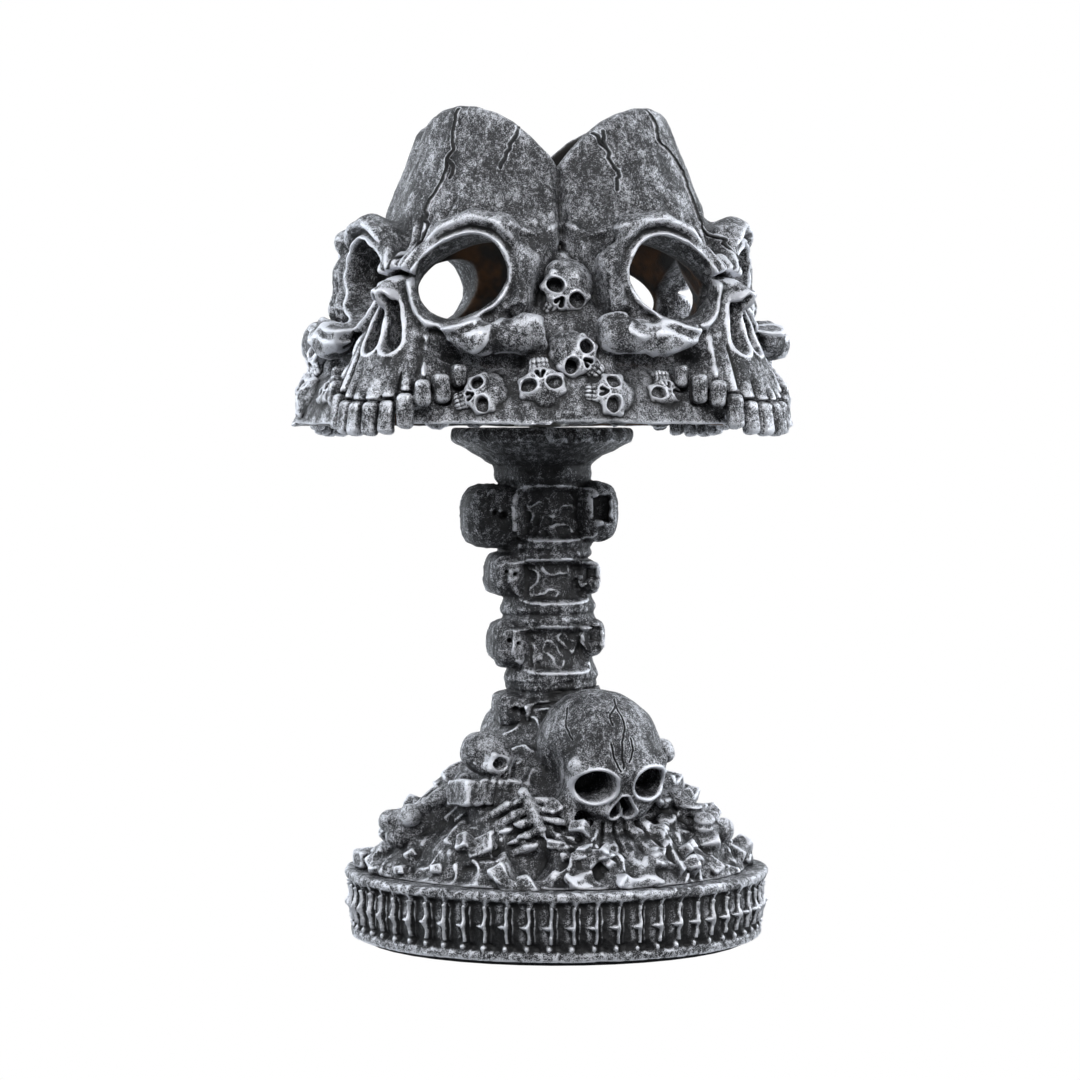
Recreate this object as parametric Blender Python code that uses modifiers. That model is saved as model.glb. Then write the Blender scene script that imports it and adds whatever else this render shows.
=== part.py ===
"""Gothic table lamp: a cast resin shade of four skulls on a spine column and a round bone-yard base.

Metres, +Z up. The origin is on the table, under the axis of the threaded tube that ties the lamp together.
The front of the stand faces -Y, and the four skulls of the shade look along the diagonals.
"""

import math
import random

import bmesh
import bpy
from mathutils import Euler, Matrix, Vector

MM = 0.001
FIT = 0.3 * MM

# Stand: a round drum, a mound of bones and a spine of four vertebrae under a flared collar.
DRUM_OFFSET = 6.0 * MM
DRUM_RADIUS = 83.0 * MM
DRUM_BELLY = 1.6 * MM
DRUM_FOOT_RADIUS = 80.5 * MM
DRUM_HEIGHT = 28.0 * MM
DRUM_FOOT_HEIGHT = 4.5 * MM
RIM_HEIGHT = 4.5 * MM
RIM_OVERHANG = 1.8 * MM
LEDGE_WIDTH = 8.0 * MM
FRIEZE_COUNT = 56
FRIEZE_RIDGE_WIDTH = 1.4 * MM
FRIEZE_KNOB = 2.6 * MM
VERTEBRA_RADIUS = 16.5 * MM
COLLAR_TOP = 204.0 * MM
COLLAR_RADIUS = 37.0 * MM
COLLAR_LIP = 5.5 * MM
COLLAR_NECK = 187.0 * MM
COLLAR_NECK_RADIUS = 18.0 * MM
HEAP_FOOT = 32.0 * MM
HEAP_TOP = 100.0 * MM
STAND_VOXEL = 1.5 * MM
STAND_KEEP = 0.028
ROCK_COUNT = 60

# Underside: a cavity closed by a board and a felt disc.
CAVITY_RADIUS = DRUM_RADIUS - 20.0 * MM
CAVITY_CEILING = 52.0 * MM
CAVITY_TOP_RADIUS = 20.0 * MM
FELT_RADIUS = DRUM_FOOT_RADIUS - 3.5 * MM
FELT_THICKNESS = 1.5 * MM
BOARD_RADIUS = FELT_RADIUS - 4.0 * MM
BOARD_THICKNESS = 3.0 * MM
BOARD_SCREW_CIRCLE = BOARD_RADIUS - 5.0 * MM
BOARD_SCREW_LENGTH = 12.0 * MM
SINK_TOP = 2.3 * MM
BOARD_SCREW_ANGLES = [math.radians(45 + 90 * i) for i in range(4)]
BOARD_TOP = FELT_THICKNESS + FIT + BOARD_THICKNESS

# Cord entry at the back of the drum.
CORD_HOLE_RADIUS = 5.0 * MM
CORD_HOLE_HEIGHT = 13.0 * MM
CORD_BORE_RADIUS = 3.6 * MM
CORD_PAD_WIDTH = 20.0 * MM
CORD_PAD_FACE = DRUM_RADIUS - 3.0 * MM
CLAMP_WIDTH = 26.0 * MM
CLAMP_DEPTH = 9.0 * MM
CLAMP_HEIGHT = 7.0 * MM
CLAMP_REACH = 48.0 * MM
CLAMP_SCREW_SPREAD = 8.5 * MM
CLAMP_SCREW_RADIUS = 1.4 * MM
GROMMET_FLANGE = 7.0 * MM
GROMMET_FLANGE_THICKNESS = 1.8 * MM

# Threaded tube, nuts and washers.
TUBE_RADIUS = 5.0 * MM
TUBE_BORE_RADIUS = 3.8 * MM
NUT_ACROSS_FLATS = 14.0 * MM
NUT_HEIGHT = 4.0 * MM
WASHER_RADIUS = 11.0 * MM
WASHER_THICKNESS = 1.5 * MM
TUBE_PAST_NUT = 3.0 * MM
UPPER_NUT_FOOT = COLLAR_TOP + 2 * FIT + WASHER_THICKNESS
LOWER_NUT_FOOT = CAVITY_CEILING - 2 * FIT - WASHER_THICKNESS - NUT_HEIGHT
TUBE_FOOT = LOWER_NUT_FOOT - TUBE_PAST_NUT

# Lampholder for a small screw lamp.
HOLDER_RADIUS = 14.0 * MM
HOLDER_WALL = 1.8 * MM
HOLDER_SHOULDER_RADIUS = 17.0 * MM
CAP_FOOT = UPPER_NUT_FOOT + NUT_HEIGHT + FIT
CAP_STEP = CAP_FOOT + 8.0 * MM
CAP_TOP = CAP_FOOT + 15.0 * MM
TUBE_TOP = CAP_STEP - 1.0 * MM
SKIRT_FOOT = CAP_TOP + FIT
SHOULDER_TOP = SKIRT_FOOT + 2.0 * MM
SKIRT_TOP = SKIRT_FOOT + 33.0 * MM
INSERT_RADIUS = 11.0 * MM
INSERT_FOOT = CAP_STEP + FIT
INSERT_FLOOR = INSERT_FOOT + 9.0 * MM
INSERT_TOP = INSERT_FLOOR + 22.0 * MM
CONTACT_THICKNESS = 0.8 * MM
LOCK_SCREW_RADIUS = 1.3 * MM
LAMP_CAP_RADIUS = 6.8 * MM
LAMP_CAP_LENGTH = 22.0 * MM
LAMP_GLASS_RADIUS = 13.0 * MM
LAMP_GLASS_LENGTH = 37.0 * MM
LAMP_FOOT = INSERT_FLOOR + CONTACT_THICKNESS + 2 * FIT
CLAMP_RING_RADIUS = 19.0 * MM
CLAMP_RING_HEIGHT = 5.0 * MM

# Steel cross that carries the shade on the lampholder.
CROSS_HUB_RADIUS = 21.0 * MM
CROSS_THICKNESS = 1.5 * MM
CROSS_ARM_WIDTH = 11.0 * MM
CROSS_REACH = 72.0 * MM
CROSS_SCREW_CIRCLE = 66.0 * MM
BOSS_WIDTH = 15.0 * MM
BOSS_HEIGHT = 11.0 * MM
BOSS_INNER = 59.0 * MM
CROSS_SEAT = SHOULDER_TOP
SCREW_RADIUS = 1.8 * MM
SCREW_HEAD_RADIUS = 3.5 * MM
SCREW_HEAD_HEIGHT = 2.2 * MM
CROSS_SCREW_LENGTH = 8.0 * MM

# Shade: four skull faces at the corners of a flared ring, open at the top and below.
SHADE_REST = COLLAR_TOP
FACE_COUNT = 4
FACE_ANGLES = [math.radians(-45 + 90 * i) for i in range(FACE_COUNT)]
JOIN_ANGLES = [math.radians(90 * i) for i in range(FACE_COUNT)]
SHADE_WALL = 7.0 * MM
SHADE_RIM_HEIGHT = 124.0 * MM
SHADE_RIM_DIP = 24.0 * MM
SHADE_DIP_RADIUS = 46.0 * MM
CROWN_MIDDLE = 22.0 * MM
CROWN_TOP_RADIUS = 32.0 * MM
CROWN_BROW_HEIGHT = 54.0 * MM
CROWN_BROW_RADIUS = 62.0 * MM
CROWN_FLATNESS = 0.84
SHADE_RIM_RADIUS = CROWN_MIDDLE + CROWN_TOP_RADIUS
SHADE_HEM_RADIUS = 101.0 * MM
SHADE_WAIST_HEIGHT = 62.0 * MM
SHADE_WAIST_RADIUS = 66.0 * MM
EYE_HALF_WIDTH = 15.5 * MM
EYE_HALF_HEIGHT = 14.0 * MM
EYE_SPREAD = 22.0 * MM
EYE_DEPTH = 79.0 * MM
EYE_HEIGHT = 57.5 * MM
EYE_TURN = math.radians(29)
ARCH_MIDDLE = 60.0 * MM
ARCH_LENGTH = 51.5 * MM
ARCH_WIDTH = 39.5 * MM
TOOTH_COUNT = 12
FRONT_TEETH = 6
TOOTH_PITCH = 7.3 * MM
TOOTH_LENGTH = 13.0 * MM
TOOTH_DROP = 4.0 * MM
MOLAR_LIFT = 9.5 * MM
SHADE_VOXEL = 1.5 * MM
SHADE_KEEP = 0.031
CUTTER_KEEP = 0.15
CAST_KEEP = 0.3

RESIN = ("aged_silver_resin", (0.16, 0.16, 0.17), 0.45, 0.6)
ZINC = ("zinc_steel", (0.62, 0.62, 0.60), 0.35, 1.0)
BRASS = ("brass", (0.72, 0.53, 0.24), 0.3, 1.0)
BLACK_PLASTIC = ("black_thermoplastic", (0.03, 0.03, 0.03), 0.45, 0.0)
CERAMIC = ("white_insert", (0.8, 0.78, 0.74), 0.4, 0.0)
GLASS = ("frosted_glass", (0.92, 0.9, 0.84), 0.25, 0.0)
FELT = ("black_felt", (0.03, 0.03, 0.035), 0.95, 0.0)
BOARD = ("hardboard", (0.28, 0.18, 0.1), 0.8, 0.0)
RUBBER = ("black_rubber", (0.02, 0.02, 0.02), 0.7, 0.0)


def clear_scene():
    for old in list(bpy.data.objects):
        bpy.data.objects.remove(old)


def new_collection(name):
    made = bpy.data.collections.new(name)
    bpy.context.scene.collection.children.link(made)
    return made


def material_of(finish):
    name, colour, roughness, metallic = finish
    found = bpy.data.materials.get(name)
    if found:
        return found
    made = bpy.data.materials.new(name)
    made.use_nodes = True
    shader = made.node_tree.nodes["Principled BSDF"]
    shader.inputs["Base Color"].default_value = (*colour, 1)
    shader.inputs["Roughness"].default_value = roughness
    shader.inputs["Metallic"].default_value = metallic
    return made


clear_scene()
PARTS = new_collection("skull_lamp")
CUTTERS = new_collection("cutters")


def add_object(name, mesh, finish=None):
    """Links a mesh as a part, or as a hidden cutter when it has no finish."""
    made = bpy.data.objects.new(name, mesh)
    if finish:
        mesh.materials.append(material_of(finish))
        PARTS.objects.link(made)
    else:
        CUTTERS.objects.link(made)
        made.hide_render = True
        made.display_type = "WIRE"
    return made


def object_from(name, bm, finish=None):
    mesh = bpy.data.meshes.new(name)
    bm.to_mesh(mesh)
    bm.free()
    return add_object(name, mesh, finish)


def turned(name, profile, finish=None, at=(0, 0, 0), steps=32):
    """A turned solid. The profile holds (radius, height) pairs down the outer side, and a closed one is a ring."""
    bm = bmesh.new()
    points = [bm.verts.new((radius, 0, height)) for radius, height in profile]
    closed = profile[0][0] > 0 and profile[-1][0] > 0
    for first, second in zip(points, points[1:] + points[:1]):
        if closed or second is not points[0]:
            bm.edges.new((first, second))
    made = object_from(name, bm, finish)
    made.location = at
    screw = made.modifiers.new("turn", "SCREW")
    screw.steps = steps
    screw.render_steps = steps
    screw.use_merge_vertices = True
    screw.merge_threshold = 0.00001
    return made


def ring_profile(inner, outer, low, high):
    return [(outer, high), (outer, low), (inner, low), (inner, high)]


def rod_profile(radius, low, high):
    return [(0, high), (radius, high), (radius, low), (0, low)]


def absorb(bm, piece):
    """Moves a finished piece into a larger pile of shapes."""
    mesh = bpy.data.meshes.new("piece")
    piece.to_mesh(mesh)
    piece.free()
    bm.from_mesh(mesh)
    bpy.data.meshes.remove(mesh)


def add_cylinder(bm, centre, direction, radius, length, sides=16, radius_end=None):
    turn = Vector(direction).to_track_quat("Z", "Y").to_matrix().to_4x4()
    piece = bmesh.new()
    bmesh.ops.create_cone(
        piece,
        cap_ends=True,
        segments=sides,
        radius1=radius,
        radius2=radius if radius_end is None else radius_end,
        depth=length,
        matrix=Matrix.Translation(centre) @ turn,
    )
    absorb(bm, piece)


def add_box(bm, centre, size, turn=0.0):
    piece = bmesh.new()
    bmesh.ops.create_cube(
        piece,
        size=1,
        matrix=Matrix.Translation(centre) @ Matrix.Rotation(turn, 4, "Z") @ Matrix.Diagonal((*size, 1)),
    )
    absorb(bm, piece)


def add_ball(bm, centre, halves, turn=(0, 0, 0), place=Matrix(), segments=18, rings=12):
    """An ellipsoid with its half sizes along its own turned axes, set down by the matrix place."""
    shape = Euler(turn).to_matrix().to_4x4() @ Matrix.Diagonal((*halves, 1))
    piece = bmesh.new()
    bmesh.ops.create_uvsphere(
        piece,
        u_segments=segments,
        v_segments=rings,
        radius=1,
        matrix=place @ Matrix.Translation(centre) @ shape,
    )
    absorb(bm, piece)


def add_bone(bm, start, end, radius_start, radius_end, place=Matrix(), sides=12):
    """A tapered rod with round ends."""
    start, end = Vector(start), Vector(end)
    along = end - start
    turn = along.to_track_quat("Z", "Y").to_matrix().to_4x4()
    piece = bmesh.new()
    bmesh.ops.create_cone(
        piece,
        cap_ends=True,
        segments=sides,
        radius1=radius_start,
        radius2=radius_end,
        depth=along.length,
        matrix=place @ Matrix.Translation((start + end) / 2) @ turn,
    )
    absorb(bm, piece)
    for centre, radius in ((start, radius_start), (end, radius_end)):
        add_ball(bm, centre, (radius,) * 3, place=place, segments=sides, rings=8)


def modify(target, kind, **settings):
    made = target.modifiers.new(kind.lower(), kind)
    for key, value in settings.items():
        setattr(made, key, value)
    return made


def melt(target, voxel, smoothing=0):
    """Joins every overlapping shape in the object into one skin, as wax melts together."""
    modify(target, "REMESH", mode="VOXEL", voxel_size=voxel)
    if smoothing:
        modify(target, "SMOOTH", factor=0.5, iterations=smoothing)


def cut(target, cutter):
    modify(target, "BOOLEAN", operation="DIFFERENCE", object=cutter)


def join(target, other):
    modify(target, "BOOLEAN", operation="UNION", object=other)


def scaled(*values):
    """Millimetres to metres, for the points of a sculpted feature."""
    return Vector(values) * MM


def set_down(point, turn=(0, 0, 0)):
    return Matrix.Translation(point) @ Euler(turn).to_matrix().to_4x4()


# A skull in its own axes: it looks along -Y, its crown is up, and its unit is the width of the head.
SKULL_CRANIUM = ((0, 0.10, 0.06), (0.5, 0.56, 0.46))
SKULL_FACE = ((0, -0.16, -0.16), (0.42, 0.34, 0.32))
SKULL_JAW = ((0, -0.27, -0.44), (0.22, 0.19, 0.22))
SKULL_CHEEK = ((0.33, -0.27, -0.2), (0.12, 0.16, 0.11))
SKULL_EYE = ((0.235, -0.44, -0.08), (0.15, 0.3, 0.135))
SKULL_NOSE = ((0, -0.5, -0.26), (0.08, 0.24, 0.1))


def add_skull(solids, hollows, width, place):
    """One bare skull: a cranium, a face with cheekbones, an upper jaw, and cuts for the eyes and nose."""

    def lump(bm, feature, side=1, segments=14):
        (x, y, z), halves = feature
        add_ball(bm, Vector((x * side, y, z)) * width, Vector(halves) * width, place=place, segments=segments)

    for feature in (SKULL_CRANIUM, SKULL_FACE, SKULL_JAW):
        lump(solids, feature)
    for side in (-1, 1):
        lump(solids, SKULL_CHEEK, side)
        lump(hollows, SKULL_EYE, side, 10)
    lump(hollows, SKULL_NOSE, 1, 8)


def join_frame(angle):
    """Axes of one corner between two faces: X outward, Y to the right as seen from outside, Z up from the shade's rest."""
    return Matrix.Translation((0, 0, SHADE_REST)) @ Matrix.Rotation(angle, 4, "Z")


# Small skulls packed between two faces: outward, sideways, up, width, roll clockwise in degrees, turn to the side.
CORNER_SKULLS = [
    (67, -1, 51, 19, 30, 0),
    (85, -13, 16, 18, 172, -8),
    (80, 3, 27, 17, -52, 5),
    (88, 13, 11, 17, 95, 10),
    (76, -37, 12, 18, 75, -38),
    (77, 36, 12, 18, 185, 38),
]


def add_corner_skulls(solids, hollows, angle):
    frame = join_frame(angle)
    lean_back = math.radians(-28)
    for outward, sideways, up, width, roll, turn in CORNER_SKULLS:
        facing = Matrix.Rotation(math.radians(90 + turn), 4, "Z")
        place = (
            frame
            @ Matrix.Translation(scaled(outward, sideways, up))
            @ facing
            @ Matrix.Rotation(lean_back, 4, "X")
            @ Matrix.Rotation(math.radians(roll), 4, "Y")
        )
        add_skull(solids, hollows, width * MM, place)


# Bone round one eye socket: sideways, outward, up, from the root of the nose over the brow and back under the eye.
ORBIT_RIM = [(8, 82, 63), (20, 79, 71), (32, 72, 74), (41, 64, 68), (43, 62, 56), (39, 66, 44), (27, 76, 40), (13, 85, 42)]


def tooth_row():
    """(outward, sideways, height, size) of each tooth. The row is an arch that recedes and rises to the back."""
    row = []
    for i in range(TOOTH_COUNT):
        step = i - (TOOTH_COUNT - 1) / 2
        phase = step * TOOTH_PITCH / (ARCH_WIDTH + 1.2 * MM * abs(step))
        outward = ARCH_MIDDLE + ARCH_LENGTH * math.cos(phase)
        sideways = ARCH_WIDTH * math.sin(phase)
        back = abs(step) > FRONT_TEETH / 2
        height = -TOOTH_DROP + 0.5 * MM * abs(step) + (MOLAR_LIFT if back else 0)
        row.append((outward, sideways, height, 0.72 if back else 1 - 0.03 * abs(step)))
    return row


def add_crown(bm, frame, wall):
    """The brain case of one face: an oval cone that narrows upward from the brow, a given wall inside its skin."""
    flat = Matrix.Diagonal((1, CROWN_FLATNESS, 1, 1))
    brow = CROWN_BROW_RADIUS - wall
    top = CROWN_TOP_RADIUS - wall
    slope = (brow - top) / (SHADE_RIM_HEIGHT - CROWN_BROW_HEIGHT)
    above = 10 * MM
    middle = Matrix.Translation((CROWN_MIDDLE, 0, 0))
    levels = [
        (brow - 9 * MM, CROWN_BROW_HEIGHT - 40 * MM),
        (brow, CROWN_BROW_HEIGHT),
        (top - slope * above, SHADE_RIM_HEIGHT + above),
    ]
    for (radius, low), (radius_end, high) in zip(levels, levels[1:]):
        cone = bmesh.new()
        bmesh.ops.create_cone(
            cone,
            cap_ends=True,
            segments=36,
            radius1=radius,
            radius2=radius_end,
            depth=high - low + 0.2 * MM,
            matrix=frame @ middle @ Matrix.Translation((0, 0, (low + high) / 2)) @ flat,
        )
        absorb(bm, cone)


def rim_height(turn):
    """Height of the rim at an angle from the middle of a face: it dips at the corner between two faces."""
    share = turn / (math.pi / FACE_COUNT)
    return SHADE_RIM_HEIGHT - SHADE_RIM_DIP * share**2


def add_rim_cut(bm):
    """Everything above the rim, as a thick disc whose underside follows the rim."""
    disc = bmesh.new()
    steps = 16 * FACE_COUNT
    rings = []
    for radius in (20 * MM, 2 * SHADE_RIM_RADIUS):
        ring = []
        for i in range(steps):
            angle = 2 * math.pi * i / steps
            turn = math.remainder(angle - FACE_ANGLES[0], 2 * math.pi / FACE_COUNT)
            height = SHADE_REST + rim_height(turn)
            ring.append(disc.verts.new((radius * math.cos(angle), radius * math.sin(angle), height)))
        rings.append(ring)
    rings.append([disc.verts.new((v.co.x, v.co.y, SHADE_REST + SHADE_RIM_HEIGHT + 30 * MM)) for v in rings[1]])
    for lower, upper in zip(rings, rings[1:]):
        for i in range(steps):
            j = (i + 1) % steps
            disc.faces.new((lower[i], lower[j], upper[j], upper[i]))
    disc.faces.new(rings[0])
    disc.faces.new(rings[2])
    bmesh.ops.recalc_face_normals(disc, faces=disc.faces)
    absorb(bm, disc)


def add_face(solids, hollows, angle):
    """One of the four big skull faces, in axes with X outward and Y to the right."""
    frame = join_frame(angle)

    def ball(bm, centre, halves, turn=(0, 0, 0)):
        add_ball(bm, scaled(*centre), scaled(*halves), turn, frame)

    def bone(bm, start, end, r_start, r_end):
        add_bone(bm, scaled(*start), scaled(*end), r_start * MM, r_end * MM, frame)

    add_crown(solids, frame, 0)
    ball(solids, (62, 0, 30), (34, 27, 34))
    bone(solids, (84, 0, 52), (95, 0, 44), 7, 5.5)
    muzzle = bmesh.new()
    bmesh.ops.create_cone(
        muzzle,
        cap_ends=True,
        segments=28,
        radius1=ARCH_LENGTH - 1 * MM,
        radius2=29 * MM,
        depth=46 * MM,
        matrix=frame
        @ Matrix.Translation((ARCH_MIDDLE, 0, 28 * MM))
        @ Matrix.Diagonal((1, ARCH_WIDTH / ARCH_LENGTH, 1, 1)),
    )
    absorb(solids, muzzle)
    for side in (-1, 1):
        rim = [(side * y, x, z) for y, x, z in ORBIT_RIM]
        for (y, x, z), (y_end, x_end, z_end) in zip(rim, rim[1:]):
            bone(solids, (x, y, z), (x_end, y_end, z_end), 5.6, 5.6)
        ball(solids, (83, 27 * side, 33), (11, 13, 9), (0, 0, -0.5 * side))
        bone(solids, (80, 34 * side, 32), (66, 55 * side, 34), 8, 8)
        ball(hollows, (98, 41 * side, 15), (10, 12, 9), (0, 0, -0.6 * side))
        eye = set_down(
            (EYE_DEPTH, EYE_SPREAD * side, EYE_HEIGHT), (0, math.radians(8), EYE_TURN * side)
        )
        add_ball(
            hollows,
            (0, 0, 0),
            (34 * MM, EYE_HALF_WIDTH * 1.05, EYE_HALF_HEIGHT * 1.05),
            place=frame @ eye,
            segments=24,
            rings=16,
        )
        nostril = set_down(scaled(96, 3.4 * side, 35), (math.radians(-12 * side), math.radians(14), 0))
        add_ball(hollows, (0, 0, 0), scaled(34, 4.6, 11.5), place=frame @ nostril)
    for outward, sideways, height, size in tooth_row():
        length = TOOTH_LENGTH * size
        top = Vector((outward - 3.5 * MM, sideways * 0.97, height + length))
        foot = Vector((outward - 2.5 * MM, sideways, height + 3 * MM * size))
        gum = Vector((outward - 12 * MM, sideways * 0.8, height + length + 18 * MM))
        add_bone(solids, foot, top, 2.6 * MM * size, 3.2 * MM * size, frame, 10)
        add_bone(solids, top + scaled(0.5, 0, 3), gum, 3.1 * MM * size, 2.6 * MM, frame, 8)


def solid_copy(source, transform=Matrix()):
    """The mesh an object comes to after its modifiers, moved by the matrix."""
    bpy.context.view_layer.update()
    made = bpy.data.meshes.new_from_object(source.evaluated_get(bpy.context.evaluated_depsgraph_get()))
    made.transform(transform @ source.matrix_world)
    return made


def merge_into(bm, source, transform=Matrix()):
    copy = solid_copy(source, transform)
    bm.from_mesh(copy)
    bpy.data.meshes.remove(copy)


def build_shade():
    """The cast shade: one resin shell with an open rim, eye sockets, nose holes and four bosses for the steel cross."""
    solids = bmesh.new()
    hollows = bmesh.new()
    for angle in FACE_ANGLES:
        add_face(solids, hollows, angle)
    for angle in JOIN_ANGLES:
        add_corner_skulls(solids, hollows, angle)
        dip = Vector((SHADE_DIP_RADIUS + 1 * MM, 0, SHADE_RIM_HEIGHT - SHADE_RIM_DIP))
        waist = Vector((SHADE_WAIST_RADIUS, 0, SHADE_WAIST_HEIGHT + 4 * MM))
        add_bone(hollows, dip, waist, 2.8 * MM, 2.2 * MM, join_frame(angle), 8)
    add_rim_cut(hollows)
    skirt = turned(
        "shade_skirt",
        [
            (SHADE_WAIST_RADIUS - 24 * MM, SHADE_WAIST_HEIGHT + 14 * MM),
            (SHADE_WAIST_RADIUS, SHADE_WAIST_HEIGHT),
            (SHADE_HEM_RADIUS - 3 * MM, 8 * MM),
            (SHADE_HEM_RADIUS, 1 * MM),
            (SHADE_WAIST_RADIUS - 24 * MM, 1 * MM),
        ],
        at=(0, 0, SHADE_REST),
        steps=64,
    )
    merge_into(solids, skirt)

    for angle in FACE_ANGLES:
        frame = join_frame(angle)
        add_crown(hollows, frame, SHADE_WALL)
        add_ball(hollows, scaled(66, 0, 2), scaled(36, 26, 24), place=frame, segments=24)
    well = turned(
        "shade_well",
        [
            (0, SHADE_RIM_HEIGHT + 20 * MM),
            (SHADE_DIP_RADIUS - SHADE_WALL - 4 * MM, SHADE_RIM_HEIGHT + 20 * MM),
            (SHADE_DIP_RADIUS - SHADE_WALL, SHADE_RIM_HEIGHT - SHADE_RIM_DIP),
            (SHADE_WAIST_RADIUS - SHADE_WALL - 2 * MM, SHADE_WAIST_HEIGHT),
            (SHADE_HEM_RADIUS - SHADE_WALL - 2 * MM, 6 * MM),
            (SHADE_HEM_RADIUS - SHADE_WALL + 1 * MM, -24 * MM),
            (0, -24 * MM),
        ],
        at=(0, 0, SHADE_REST),
        steps=48,
    )
    merge_into(hollows, well)
    cutter = object_from("shade_hollows", hollows)
    melt(cutter, SHADE_VOXEL)
    modify(cutter, "DECIMATE", ratio=CUTTER_KEEP)

    shade = object_from("shade_casting", solids, RESIN)
    melt(shade, SHADE_VOXEL, 1)
    modify(shade, "DECIMATE", ratio=CAST_KEEP)
    cut(shade, cutter)
    melt(shade, SHADE_VOXEL)
    modify(shade, "DECIMATE", ratio=SHADE_KEEP)

    bosses = bmesh.new()
    holes = bmesh.new()
    seat_share = (SHADE_WAIST_HEIGHT - (CROSS_SEAT - BOSS_HEIGHT / 2 - SHADE_REST)) / SHADE_WAIST_HEIGHT
    skirt_radius = SHADE_WAIST_RADIUS + (SHADE_HEM_RADIUS - SHADE_WAIST_RADIUS) * seat_share
    boss_outer = skirt_radius - SHADE_WALL * 0.6
    for angle in JOIN_ANGLES:
        outward = Matrix.Rotation(angle, 4, "Z")
        length = boss_outer - BOSS_INNER
        centre = outward @ Vector(((BOSS_INNER + boss_outer) / 2, 0, CROSS_SEAT - BOSS_HEIGHT / 2))
        add_box(bosses, centre, (length, BOSS_WIDTH, BOSS_HEIGHT), angle)
        hole = outward @ Vector((CROSS_SCREW_CIRCLE, 0, CROSS_SEAT))
        add_cylinder(holes, hole, (0, 0, 1), SCREW_RADIUS + FIT, 2 * (CROSS_SCREW_LENGTH - CROSS_THICKNESS), 12)
    join(shade, object_from("shade_bosses", bosses))
    cut(shade, object_from("shade_boss_holes", holes))
    return shade


def screw_profile(radius, length, head_radius, head_height):
    """A pan head screw standing on its point, with the underside of its head at height zero."""
    return [
        (0, head_height),
        (head_radius * 0.75, head_height),
        (head_radius, head_height * 0.45),
        (head_radius, 0),
        (radius, 0),
        (radius, -length + radius * 0.6),
        (radius * 0.5, -length),
        (0, -length),
    ]


def add_screw(name, point, radius, length, head_radius, head_height, finish, sides=10):
    return turned(name, screw_profile(radius, length, head_radius, head_height), finish, point, sides)


def build_tube_set():
    """The threaded tube, and the washer and nut at each end that clamp the stand."""
    turned("threaded_tube", ring_profile(TUBE_BORE_RADIUS, TUBE_RADIUS, TUBE_FOOT, TUBE_TOP), ZINC, steps=20)
    bore = TUBE_RADIUS + FIT
    for end, washer_foot, nut_foot in (
        ("lower", CAVITY_CEILING - FIT - WASHER_THICKNESS, LOWER_NUT_FOOT),
        ("upper", COLLAR_TOP + FIT, UPPER_NUT_FOOT),
    ):
        profile = ring_profile(bore, WASHER_RADIUS, washer_foot, washer_foot + WASHER_THICKNESS)
        turned(end + "_washer", profile, ZINC, steps=20)
        nut = bmesh.new()
        centre = (0, 0, nut_foot + NUT_HEIGHT / 2)
        add_cylinder(nut, centre, (0, 0, 1), NUT_ACROSS_FLATS / 2 / math.cos(math.pi / 6), NUT_HEIGHT, 6)
        nut = object_from(end + "_nut", nut, ZINC)
        hole = bmesh.new()
        add_cylinder(hole, centre, (0, 0, 1), bore, NUT_HEIGHT * 3, 24)
        cut(nut, object_from(end + "_nut_bore", hole))


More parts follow.
